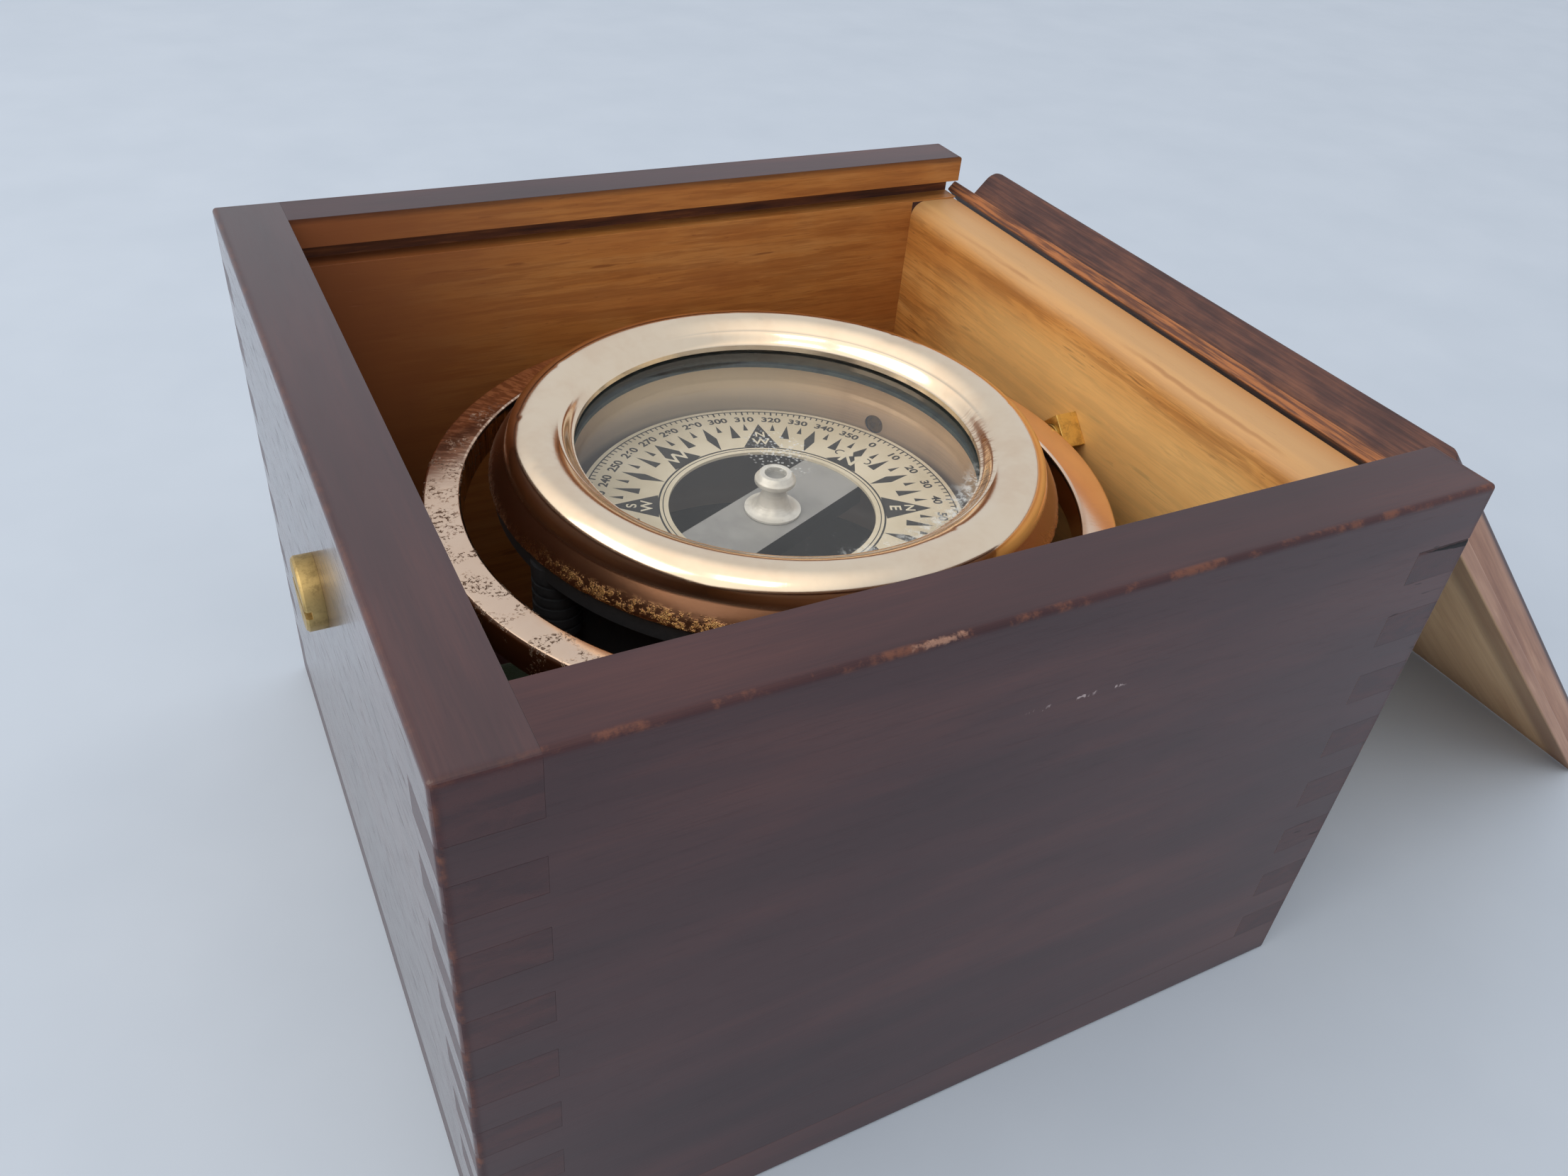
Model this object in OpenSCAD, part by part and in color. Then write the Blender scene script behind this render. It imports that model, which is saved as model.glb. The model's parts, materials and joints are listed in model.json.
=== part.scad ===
// Marine compass: a liquid-filled bowl hung on a gimbal ring in a finger-jointed wooden box.
// The box's lid is drawn out of its grooves and leans on the open end, with its foot on the floor.
// Origin: centre of the box's footprint on the floor. X runs along the box, Y to its back, Z up.

/* [Bowl] */
// Inner radius of the bowl
bowl_in_r = 40; // [37:0.5:44]
// Thickness of the bowl's side wall
bowl_wall_t = 3.5; // [2.5:0.5:4.5]
// Thickness of the bowl's floor
bowl_floor_t = 4; // [4:0.5:6]
// Depth of the bowl's underside below the pivots
bowl_below = 31; // [29:1:35]
// Height of the bowl's rim above the pivots
rim_above = 6.8; // [6.5:0.1:9]
// Width of the flange round the bowl's rim
flange_w = 7; // [6.5:0.5:9]
// Thickness of that flange
flange_t = 3.5; // [3:0.25:5]
// Radius of the bowl's rounded lower edge
bowl_edge_r = 8; // [5:0.5:10]
// Radius of the two pivot bosses
boss_r = 4.6; // [4:0.2:6]

/* [Bezel lugs] */
// Number of lugs and bezel screws
lug_n = 8; // [4:1:10]
// Radius of a lug
lug_r = 4.15; // [3.6:0.05:4.6]
// Length of a lug below the rim
lug_l = 15.4; // [12:0.2:18]
// Turn of the first lug from the X axis, in degrees
lug_turn = 14; // [10:1:20]
// Depth of the rings cut round a lug
lug_rib = 0.4; // [0.2:0.1:0.6]
// Radius of a bezel screw's shank
bezel_screw_r = 1.3; // [1:0.1:1.6]

/* [Bezel and glass] */
// Width of the two gaskets
gasket_w = 5; // [4:0.25:6]
// Reach of the bezel's lip past the gaskets, over the card
lip_reach = 0.5; // [0.3:0.1:1]
// Thickness of the bezel's rough flange
bezel_flange_t = 2.3; // [1.9:0.1:3]
// Reach of the bezel's flange past the bowl's flange
bezel_reach = 0.8; // [0.4:0.1:1.2]
// Height of the bezel's crown over the bowl's rim
bezel_h = 9; // [8:0.25:11]
// Thickness of the glass
glass_t = 3; // [2:0.25:3.5]
// Bearing of the glass on the bowl's rim
glass_seat = 1.8; // [1:0.2:2.2]
// Thickness of the lower gasket
lower_gasket_t = 0.8; // [0.5:0.1:1.2]
// Thickness of the upper gasket
upper_gasket_t = 0.4; // [0.3:0.1:0.8]

/* [Card] */
// Gap between the card and the bowl's wall
card_gap = 3.8; // [3:0.1:5]
// Depth of the card's face below the pivots
card_below = 2.8; // [2:0.1:5]
// Thickness of the card
card_t = 0.6; // [0.4:0.1:1]
// Radius of the opening in the card
card_open_r = 19.4; // [16:0.1:24]
// Width of the bar across that opening
bar_w = 13.4; // [12:0.2:16]
// Thickness of the bar
bar_t = 1.8; // [1:0.1:2.5]
// Heading of the bar from the X axis, in degrees
card_turn = 24.3; // [0:0.1:90]
// Radius of the hub's foot
hub_r = 5.3; // [4.6:0.1:6]
// Height of the hub on the bar
hub_h = 8.2; // [7:0.2:10]
// Radius of the bore that the needle stands in
hub_bore_r = 1.3; // [1:0.1:1.6]
// Length of a magnet
magnet_l = 42; // [30:1:46]
// Width of a magnet
magnet_w = 4; // [3:0.2:4.2]

/* [Bowl underside] */
// Radius of the expansion space and of the ballast's hollow
recess_r = 24; // [20:1:26]
// Depth of the expansion space
recess_d = 2; // [1.5:0.1:2.5]
// Thickness of the corrugated disc
diaphragm_t = 0.5; // [0.3:0.1:0.8]
// Height of the ballast weight
ballast_h = 6; // [4:0.5:8]
// Number of screws through the ballast
ballast_screw_n = 6; // [4:1:8]

/* [Gimbal] */
// Gap between the bezel and the gimbal ring
ring_gap = 4.8; // [3.5:0.1:8]
// Width of the gimbal ring's section
ring_w = 6.6; // [5:0.2:9]
// Height of the gimbal ring's section
ring_h = 6.4; // [5.4:0.2:9]
// Radius of the pivots' journals
journal_r = 1.8; // [1.4:0.1:2.2]
// Radial running clearance of the journals
journal_fit = 0.05; // [0.02:0.01:0.08]
// Radius of an outer pivot's threaded shank
shank_r = 2.5; // [2.3:0.1:3]
// Radius of an outer pivot's head
head_r = 6.2; // [5:0.1:8]
// Height of that head
head_h = 3.2; // [2:0.1:4]
// Side of the square nuts
nut_s = 7; // [6.5:0.1:9]
// Thickness of the square nuts
nut_t = 5; // [3:0.1:6]
// Gap between a nut and the gimbal ring
nut_gap = 1.3; // [1:0.1:4]
// Gap between the gimbal ring and the front wall
front_gap = 4.55; // [3:0.05:8]

/* [Box] */
// Thickness of the front wall
front_t = 12; // [9:0.5:16]
// Thickness of the two side walls
side_t = 12; // [9:0.5:16]
// Thickness of the back wall
back_t = 10; // [8:0.5:12]
// Thickness of the base panel
base_t = 9.5; // [6:0.5:14]
// Room under the swinging gimbal
under_gap = 8.7; // [5:0.1:15]
// Height of the low side wall above the pivots
sill_above = 23.2; // [20:0.2:30]
// Thickness of the walls' lip over the lid's grooves
lip_t = 5.7; // [4:0.1:8]
// Number of fingers up each corner
finger_n = 15; // [7:2:17]
// Radius of the low wall's rounded inner edge
sill_round = 3.5; // [2:0.5:5]
// Side of the square felt pad
felt_s = 100; // [80:1:120]
// Thickness of the felt
felt_t = 1.5; // [1:0.1:3]

/* [Lid] */
// Thickness of the lid
lid_t = 10.6; // [8:0.1:12]
// Thickness of the lid's tongue
tongue_t = 2.6; // [2:0.1:3.4]
// Depth of the grooves in the front and back walls
groove_d = 4.6; // [3:0.1:5.5]
// Depth of the groove in the high side wall
end_groove_d = 3.2; // [2:0.1:5]
// Room above the tongue in its groove
groove_room = 0.9; // [0.6:0.1:1.4]
// Gap under, beside and at the end of the tongue
lid_gap = 0.3; // [0.2:0.05:0.5]
// Radius of the rounded upper edges along the lid
lid_round = 3; // [2:0.25:4]
// Radius of the upper edge at the lid's tongue end
lid_end_round = 1; // [0.6:0.1:2]

/* [Hidden] */
$fn = 96;
// Overshoot of cuts past the faces that they open
cut = 1;
// Clearance of a screw or pin in a hole of its own body
pin_fit = 0.05;
// Reach of the lugs and of the pivot bosses past the bowl's flange
lug_proud = 0.6;
boss_proud = 0.9;
// Width of the ballast's rim round its hollow
ballast_rim_w = 7;
// Bearing of the bar under the card
bar_bearing = 4;
// Drop of the post's top under the bar
post_drop = 5;

// Radii, from the bowl outwards
bowl_r = bowl_in_r + bowl_wall_t;
flange_r = bowl_r + flange_w;
bezel_r = flange_r + bezel_reach;
lug_c = flange_r - lug_r + lug_proud;
boss_end_r = flange_r + boss_proud;
glass_r = bowl_in_r + glass_seat;
gasket_in_r = glass_r - gasket_w;
opening_r = gasket_in_r - lip_reach;
ring_in_r = bezel_r + ring_gap;
ring_r = ring_in_r + ring_w;
swing_r = sqrt(ring_r * ring_r + ring_h * ring_h / 4);
card_r = bowl_in_r - card_gap;

// Heights, from the floor up
pivot_z = base_t + under_gap + swing_r;
rim_z = pivot_z + rim_above;
bowl_z = pivot_z - bowl_below;
bowl_floor_z = bowl_z + bowl_floor_t;
glass_z = rim_z + lower_gasket_t;
gasket_z = glass_z + glass_t;
lip_z = gasket_z + upper_gasket_t;
bezel_z = rim_z + bezel_h;
card_z = pivot_z - card_below;
bar_z = card_z - card_t - bar_t;
hub_z = card_z - card_t;
diaphragm_z = bowl_z - diaphragm_t;
ballast_z = diaphragm_z - ballast_h;

// Box
nut_x = ring_r + nut_gap;
wall_x = nut_x + nut_t;
end_x = wall_x + side_t;
front_y = ring_r + front_gap;
edge_y = front_y + front_t;
back_y = edge_y - back_t;
sill_z = pivot_z + sill_above;
groove_z = sill_z + lid_gap;
groove_h = tongue_t + lid_gap + groove_room;
top_z = groove_z + groove_h + lip_t;
finger_h = (sill_z - base_t) / finger_n;
mid_y = (back_y - front_y) / 2;

// Lid, level, with its hinge edge at the origin
lid_l = end_x + wall_x + end_groove_d - lid_gap;
lid_w = front_y + back_y + 2 * groove_d - 2 * lid_gap;
lid_body_w = front_y + back_y - 2 * lid_gap;
lid_edge_x = end_x + lid_gap;
lid_edge_z = groove_z + lid_gap;
lid_lean = asin(lid_edge_z / lid_l);

// Small hardware
plug_turn = 31.5;
plug_z = pivot_z - 3.2;
plug_hole_r = 2.1;
plug_head_r = 3.6;
plug_head_h = 2;
washer_t = 0.6;
ballast_r = recess_r + ballast_rim_w;
ballast_screw_c = recess_r + ballast_rim_w / 2;
ballast_screw_r = 1.1;
vent_c = recess_r * 0.6;
post_r = 3;
post_spigot_r = 1.4;
needle_r = 0.6;
jewel_r = hub_bore_r;
jewel_h = 2;
jewel_z = pivot_z + 0.9;
cup_d = 0.7;
needle_gap = 0.2;

// A flat ring from radius r0 to r1
module ring(r0, r1, h) {
  rotate_extrude()
    translate([r0, 0])
      square([r1 - r0, h]);
}

// A round hole or pin along X, between x0 and x1
module along_x(r, x0, x1) {
  translate([x0, 0, pivot_z])
    rotate([0, 90, 0])
      cylinder(r = r, h = x1 - x0);
}

// A round hole or pin along Y, between y0 and y1
module along_y(r, y0, y1) {
  translate([0, y0, pivot_z])
    rotate([-90, 0, 0])
      cylinder(r = r, h = y1 - y0);
}

// Copies of the children on both ends of an axis: turn 0 is X, turn 90 is Y
module both_ends() {
  for (a = [0, 180])
    rotate(a)
      children();
}

// The bands of one corner that belong to one wall, from band `first` down, every second one
module fingers(first, x0, x1, y0, y1) {
  for (k = [first : 2 : finger_n - 1])
    translate([x0, y0, sill_z - (k + 1) * finger_h])
      cube([x1 - x0, y1 - y0, finger_h]);
}

// A long wall between y0 and y1, with its groove open towards the low end
module long_wall(y0, y1, groove_y) {
  color("#4a2b22")
    difference() {
      translate([-end_x, y0, base_t])
        cube([2 * end_x, y1 - y0, top_z - base_t]);
      fingers(1, -end_x - cut, -wall_x, y0 - cut, y1 + cut);
      translate([-end_x - cut, y0 - cut, sill_z])
        cube([side_t + cut, y1 - y0 + 2 * cut, top_z]);
      fingers(0, wall_x, end_x + cut, y0 - cut, y1 + cut);
      translate([-wall_x - cut, groove_y, groove_z])
        cube([wall_x + end_x + 2 * cut, groove_d + cut, groove_h]);
    }
}

module front_wall() {
  long_wall(-edge_y, -front_y, -front_y - groove_d);
}

module back_wall() {
  long_wall(back_y, edge_y, back_y - cut);
}

module left_wall() {
  color("#5b3a2e")
    difference() {
      translate([-end_x, -edge_y, base_t])
        cube([side_t, 2 * edge_y, top_z - base_t]);
      fingers(0, -end_x - cut, -wall_x + cut, -edge_y - cut, -front_y);
      fingers(0, -end_x - cut, -wall_x + cut, back_y, edge_y + cut);
      translate([-wall_x - end_groove_d, -front_y - groove_d, groove_z])
        cube([end_groove_d + cut, front_y + back_y + 2 * groove_d, groove_h]);
      along_x(shank_r + pin_fit, -end_x - cut, -wall_x + cut);
    }
}

module right_wall() {
  round_x = wall_x + sill_round;
  color("#c48a3c")
    difference() {
      translate([wall_x, -edge_y, base_t])
        cube([side_t, 2 * edge_y, sill_z - base_t]);
      fingers(1, wall_x - cut, end_x + cut, -edge_y - cut, -front_y);
      fingers(1, wall_x - cut, end_x + cut, back_y, edge_y + cut);
      difference() {
        translate([wall_x - cut, -front_y, sill_z - sill_round])
          cube([sill_round + cut, front_y + back_y, sill_round + cut]);
        translate([round_x, -front_y - cut, sill_z - sill_round])
          rotate([-90, 0, 0])
            cylinder(r = sill_round, h = front_y + back_y + 2 * cut);
      }
      along_x(shank_r + pin_fit, wall_x - cut, end_x + cut);
    }
}

module base_panel() {
  color("#3f241d")
    translate([-end_x, -edge_y, 0])
      cube([2 * end_x, 2 * edge_y, base_t]);
}

module felt_pad() {
  color("#2f5a3a")
    translate([-felt_s / 2, mid_y - felt_s / 2, base_t])
      cube([felt_s, felt_s, felt_t]);
}

// Screw through a side wall: head outside, threaded shank, journal in the gimbal ring
module outer_pivot_screws() {
  chamfer = head_h / 8;
  slot_d = head_h / 3;
  slot_w = 1.4;
  tip = ring_w - 1.5;
  color("#c9a24a")
    both_ends()
      difference() {
        union() {
          along_x(shank_r, nut_x - 0.4, end_x + head_h / 2);
          along_x(journal_r, nut_x - nut_gap - tip, nut_x);
          along_x(head_r, end_x, end_x + head_h - chamfer);
          translate([end_x + head_h - chamfer, 0, pivot_z])
            rotate([0, 90, 0])
              cylinder(r1 = head_r, r2 = head_r - chamfer, h = chamfer);
        }
        translate([end_x + head_h - slot_d, -head_r, pivot_z - slot_w / 2])
          cube([slot_d + cut, 2 * head_r, slot_w]);
      }
}

// Square nuts, standing on a corner against the inner faces of the side walls
module outer_pivot_nuts() {
  color("#d8b35a")
    both_ends()
      difference() {
        translate([nut_x, 0, pivot_z])
          rotate([45, 0, 0])
            translate([0, -nut_s / 2, -nut_s / 2])
              cube([nut_t, nut_s, nut_s]);
        along_x(shank_r + pin_fit, nut_x - cut, wall_x + cut);
      }
}

// Outline with two rounded upper corners, from x0 to x1 and from 0 to h
module shoulders(x0, x1, h, r) {
  translate([x0, 0])
    square([x1 - x0, h - r]);
  translate([x0 + r, 0])
    square([x1 - x0 - 2 * r, h]);
  for (x = [x0 + r, x1 - r])
    translate([x, h - r])
      circle(r);
}

// The lid lying level, its hinge edge on the Y axis and its foot at x = lid_l
module level_lid() {
  body_x = end_groove_d;
  translate([0, mid_y - lid_w / 2, 0])
    cube([lid_l, lid_w, tongue_t]);
  intersection() {
    translate([0, mid_y, 0])
      rotate([90, 0, 90])
        linear_extrude(lid_l)
          shoulders(-lid_body_w / 2, lid_body_w / 2, lid_t, lid_round);
    translate([0, mid_y + lid_w / 2, 0])
      rotate([90, 0, 0])
        linear_extrude(lid_w)
          union() {
            shoulders(body_x, lid_l, lid_t, lid_end_round);
            translate([lid_l - 2 * lid_end_round, 0])
              square([2 * lid_end_round, lid_t]);
          }
  }
}

module lid() {
  color("#4b3230")
    translate([lid_edge_x, 0, lid_edge_z])
      rotate([0, lid_lean, 0])
        level_lid();
}

// Ring section, with its corners taken off
module ring_section(r0, r1, h, chamfer) {
  polygon([
    [r0 + chamfer, 0], [r1 - chamfer, 0], [r1, chamfer], [r1, h - chamfer],
    [r1 - chamfer, h], [r0 + chamfer, h], [r0, h - chamfer], [r0, chamfer]
  ]);
}

module gimbal_ring() {
  color("#d9a98c")
    difference() {
      translate([0, 0, pivot_z - ring_h / 2])
        rotate_extrude($fn = 180)
          ring_section(ring_in_r, ring_r, ring_h, 0.4);
      both_ends() {
        along_x(journal_r + journal_fit, ring_in_r - cut, ring_r + cut);
        along_y(shank_r + pin_fit, ring_in_r - cut, ring_r + cut);
      }
    }
}

// Headless screws in the gimbal ring, with journals that carry the bowl
module inner_pivot_screws() {
  slot_w = 1;
  slot_d = 1.2;
  sunk = 0.3;
  reach = boss_end_r - bowl_r - 2;
  color("#c9a24a")
    both_ends()
      difference() {
        union() {
          along_y(shank_r, boss_end_r + 0.4, ring_r - sunk);
          along_y(journal_r, boss_end_r - reach, boss_end_r + 1);
        }
        translate([-shank_r, ring_r - sunk - slot_d, pivot_z - slot_w / 2])
          cube([2 * shank_r, slot_d + cut, slot_w]);
      }
}

// Places of the bezel's screws and lugs
module at_lugs() {
  for (i = [0 : lug_n - 1])
    rotate(lug_turn + 360 * i / lug_n)
      translate([lug_c, 0, 0])
        children();
}

// One lug: a round post with rings cut round it, on a web that joins it to the bowl
module lug() {
  groove_n = 5;
  pitch = (lug_l - flange_t) / (groove_n + 0.5);
  groove_w = pitch * 0.35;
  web_w = lug_r * 1.4;
  rotate_extrude()
    polygon(concat(
      [[0, 0], [0, lug_l - flange_t / 2], [lug_r, lug_l - flange_t / 2]],
      [for (i = [groove_n : -1 : 1], corner = [[0, 0], [1, 0], [1, 1], [0, 1]])
        [lug_r - corner[0] * lug_rib, i * pitch - corner[1] * groove_w]],
      [[lug_r, 0]]
    ));
  translate([-lug_c + bowl_in_r + bowl_wall_t / 2, -web_w / 2, 0.6])
    cube([lug_c - bowl_in_r - bowl_wall_t / 2, web_w, lug_l - flange_t / 2 - 0.6]);
}

// The bowl's own round section
module bowl_section() {
  in_edge_r = max(bowl_edge_r - bowl_wall_t, 1);
  difference() {
    union() {
      translate([0, bowl_z])
        square([bowl_r - bowl_edge_r, rim_z - bowl_z]);
      translate([0, bowl_z + bowl_edge_r])
        square([bowl_r, rim_z - bowl_z - bowl_edge_r]);
      intersection() {
        translate([bowl_r - bowl_edge_r, bowl_z + bowl_edge_r])
          circle(bowl_edge_r);
        translate([0, bowl_z])
          square([bowl_r, rim_z - bowl_z]);
      }
      translate([0, rim_z - flange_t])
        square([flange_r, flange_t]);
    }
    translate([0, bowl_floor_z])
      square([bowl_in_r - in_edge_r, rim_z]);
    translate([0, bowl_floor_z + in_edge_r])
      square([bowl_in_r, rim_z]);
    intersection() {
      translate([bowl_in_r - in_edge_r, bowl_floor_z + in_edge_r])
        circle(in_edge_r);
      translate([0, bowl_floor_z])
        square([bowl_in_r, rim_z]);
    }
    square([recess_r, bowl_z + recess_d]);
  }
}

module bowl() {
  color("#1c1c1e")
    difference() {
      union() {
        rotate_extrude($fn = 180)
          bowl_section();
        at_lugs()
          translate([0, 0, rim_z - lug_l])
            lug();
        both_ends()
          along_y(boss_r, bowl_r - bowl_wall_t / 2, boss_end_r);
      }
      at_lugs()
        translate([0, 0, rim_z - lug_l - cut])
          cylinder(r = bezel_screw_r + pin_fit, h = lug_l + 2 * cut, $fn = 48);
      both_ends()
        along_y(journal_r + journal_fit, bowl_r + 0.6, boss_end_r + cut);
      filler_line(plug_hole_r, bowl_in_r - cut, bowl_r + cut);
      for (a = [45 : 90 : 315])
        rotate(a)
          translate([vent_c, 0, bowl_z])
            cylinder(r = 1, h = bowl_floor_t + cut, $fn = 32);
      translate([0, 0, bowl_z])
        cylinder(r = post_spigot_r + pin_fit, h = bowl_floor_t + cut);
      at_ballast_screws()
        translate([0, 0, bowl_z - cut])
          cylinder(r = ballast_screw_r + pin_fit, h = bowl_floor_t - 1 + cut, $fn = 32);
    }
}

// A pin or hole on the filler's line, between radii r0 and r1
module filler_line(r, r0, r1) {
  rotate(plug_turn)
    translate([r0, 0, plug_z])
      rotate([0, 90, 0])
        cylinder(r = r, h = r1 - r0, $fn = 48);
}

module filler_plug() {
  slot_w = 0.9;
  head_r0 = bowl_r + washer_t;
  color("#b08d4f")
    difference() {
      union() {
        filler_line(plug_hole_r - pin_fit, bowl_in_r + 0.6, head_r0 + plug_head_h / 2);
        filler_line(plug_head_r, head_r0, head_r0 + plug_head_h);
      }
      rotate(plug_turn)
        translate([head_r0 + plug_head_h / 2, -plug_head_r, plug_z - slot_w / 2])
          cube([plug_head_h, 2 * plug_head_r, slot_w]);
    }
}

// Washer, dished on its inner side to the bowl's curve
module plug_washer() {
  color("#3a3632")
    difference() {
      filler_line(plug_head_r + 0.4, bowl_r - 0.3, bowl_r + washer_t);
      filler_line(plug_hole_r, bowl_r - cut, bowl_r + washer_t + cut);
      cylinder(r = bowl_r, h = 2 * pivot_z, $fn = 180);
    }
}

// Outline of the bezel: rounded flange, cove, crown and the slope down to the opening
module bezel_section() {
  flange_z = rim_z + bezel_flange_t;
  flange_edge_h = 0.6;
  ledge_w = 1.9;
  cove_w = 1.3;
  slope_w = 2.4;
  slope_drop = 1.7;
  edge_h = 1;
  glass_room = 0.2;
  cove_r = bezel_r - ledge_w;
  crown_out_r = cove_r - cove_w;
  slope_r = opening_r + slope_w;
  crown_r = (crown_out_r + slope_r) / 2;
  slope_z = bezel_z - slope_drop;
  edge_z = lip_z + edge_h;
  cove_h = (bezel_z - flange_z) * 0.37;
  crown_h = bezel_z - flange_z - cove_h;
  steps = 8;
  seat_r = glass_r + glass_room;
  polygon(concat(
    [[seat_r, rim_z], [bezel_r, rim_z]],
    [for (i = [0 : steps])
      [cove_r + ledge_w * cos(90 * i / steps),
       rim_z + flange_edge_h + (bezel_flange_t - flange_edge_h) * sin(90 * i / steps)]],
    [for (i = [1 : steps])
      [crown_out_r + cove_w * (1 - sin(90 * i / steps)),
       flange_z + cove_h * (1 - cos(90 * i / steps))]],
    [for (i = [1 : steps])
      [crown_r + (crown_out_r - crown_r) * cos(90 * i / steps),
       flange_z + cove_h + crown_h * sin(90 * i / steps)]],
    [for (i = [1 : steps])
      [crown_r - (crown_r - slope_r) * i / steps,
       bezel_z - slope_drop * pow(i / steps, 2)]],
    [for (i = [1 : steps])
      [slope_r - slope_w * i / steps,
       edge_z + (slope_z - edge_z) * (1 + cos(180 * i / steps)) / 2]],
    [[opening_r, lip_z], [seat_r, lip_z]]
  ));
}

module bezel_ring() {
  color("#e3bfa6")
    difference() {
      rotate_extrude($fn = 180)
        bezel_section();
      at_lugs()
        translate([0, 0, rim_z - cut])
          cylinder(r = bezel_screw_r + pin_fit, h = bezel_flange_t - 0.6 + cut, $fn = 48);
    }
}

module glass() {
  color("#cfe4e6", 0.3)
    translate([0, 0, glass_z])
      cylinder(r = glass_r, h = glass_t, $fn = 180);
}

module upper_gasket() {
  color("#101010")
    translate([0, 0, gasket_z])
      ring(gasket_in_r, glass_r, upper_gasket_t, $fn = 180);
}

module lower_gasket() {
  color("#4f7478")
    translate([0, 0, rim_z])
      ring(gasket_in_r, glass_r, lower_gasket_t, $fn = 180);
}

// Screws up through the lugs into the bezel's flange
module bezel_screws() {
  head_h = 1.8;
  slot_w = 0.8;
  color("#8a6a3a")
    at_lugs()
      translate([0, 0, rim_z - lug_l - head_h])
        difference() {
          union() {
            cylinder(r = bezel_screw_r * 2, h = head_h, $fn = 48);
            cylinder(r = bezel_screw_r, h = head_h + lug_l + bezel_flange_t - 0.9, $fn = 48);
          }
          translate([-bezel_screw_r * 2, -slot_w / 2, -cut])
            cube([bezel_screw_r * 4, slot_w, cut + head_h / 2]);
        }
}

// Disc with round waves that lets the liquid swell
module diaphragm() {
  waves = 4;
  wave_h = 0.5;
  wave_r = recess_r - 2;
  steps = 32;
  wave = [for (i = [0 : steps]) [wave_r * i / steps, wave_h * sin(360 * waves * i / steps)]];
  color("#b98a5a")
    difference() {
      rotate_extrude()
        polygon(concat(
          [for (p = wave) [p[0], diaphragm_z + p[1]]],
          [[ballast_r, diaphragm_z], [ballast_r, bowl_z]],
          [for (i = [steps : -1 : 0]) [wave[i][0], bowl_z + wave[i][1]]]
        ));
      at_ballast_screws()
        translate([0, 0, diaphragm_z - cut])
          cylinder(r = ballast_screw_r + pin_fit, h = 3 * cut, $fn = 32);
    }
}

module at_ballast_screws() {
  for (i = [0 : ballast_screw_n - 1])
    rotate(360 * i / ballast_screw_n)
      translate([ballast_screw_c, 0, 0])
        children();
}

// Heavy cover under the bowl, hollow above so that the disc can move
module ballast_weight() {
  hollow_d = 2;
  chamfer = 1.5;
  color("#55575c")
    difference() {
      rotate_extrude()
        polygon([
          [0, ballast_z], [ballast_r - chamfer, ballast_z], [ballast_r, ballast_z + chamfer],
          [ballast_r, diaphragm_z], [recess_r, diaphragm_z], [recess_r, diaphragm_z - hollow_d],
          [0, diaphragm_z - hollow_d]
        ]);
      at_ballast_screws()
        translate([0, 0, ballast_z - cut])
          cylinder(r = ballast_screw_r + pin_fit, h = ballast_h + 2 * cut, $fn = 32);
    }
}

module ballast_screws() {
  head_h = 1.2;
  slot_w = 0.7;
  shank_l = ballast_h + diaphragm_t + bowl_floor_t - 1.5;
  color("#8a6a3a")
    at_ballast_screws()
      translate([0, 0, ballast_z - head_h])
        difference() {
          union() {
            cylinder(r = ballast_screw_r * 1.8, h = head_h, $fn = 32);
            cylinder(r = ballast_screw_r, h = head_h + shank_l, $fn = 32);
          }
          translate([-ballast_screw_r * 2, -slot_w / 2, -cut])
            cube([ballast_screw_r * 4, slot_w, cut + head_h / 2]);
        }
}

// Post on the bowl's floor, under the hub
module pivot_post() {
  foot_h = 2;
  neck_r = 1.2;
  neck_z = bar_z - post_drop;
  color("#b08d4f")
    rotate_extrude()
      polygon([
        [0, bowl_z + recess_d + 0.2], [post_spigot_r, bowl_z + recess_d + 0.2],
        [post_spigot_r, bowl_floor_z], [post_r + 2, bowl_floor_z],
        [post_r + 2, bowl_floor_z + foot_h], [post_r, bowl_floor_z + foot_h + 1],
        [neck_r, neck_z], [0, neck_z]
      ]);
}

// Steel needle: its point lies in the jewel's cup
module pivot_needle() {
  foot_z = bar_z - post_drop;
  tip_z = jewel_z + cup_d - needle_gap;
  cone_h = 1.5;
  color("#9a9ea3")
    translate([0, 0, foot_z]) {
      cylinder(r = needle_r, h = tip_z - cone_h - foot_z, $fn = 32);
      translate([0, 0, tip_z - cone_h - foot_z])
        cylinder(r1 = needle_r, r2 = 0.1, h = cone_h, $fn = 32);
    }
}

module card_ring() {
  color("#e9e2c8")
    translate([0, 0, card_z - card_t])
      ring(card_open_r, card_r, card_t, $fn = 180);
}

// Bar under the card, its ends cut round
module card_bar() {
  end_r = card_open_r + bar_bearing;
  color("#80848a")
    difference() {
      intersection() {
        rotate(card_turn)
          translate([-end_r, -bar_w / 2, bar_z])
            cube([2 * end_r, bar_w, bar_t]);
        translate([0, 0, bar_z])
          cylinder(r = end_r, h = bar_t, $fn = 180);
      }
      translate([0, 0, bar_z - cut])
        cylinder(r = hub_bore_r, h = bar_t + 2 * cut, $fn = 48);
    }
}

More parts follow.
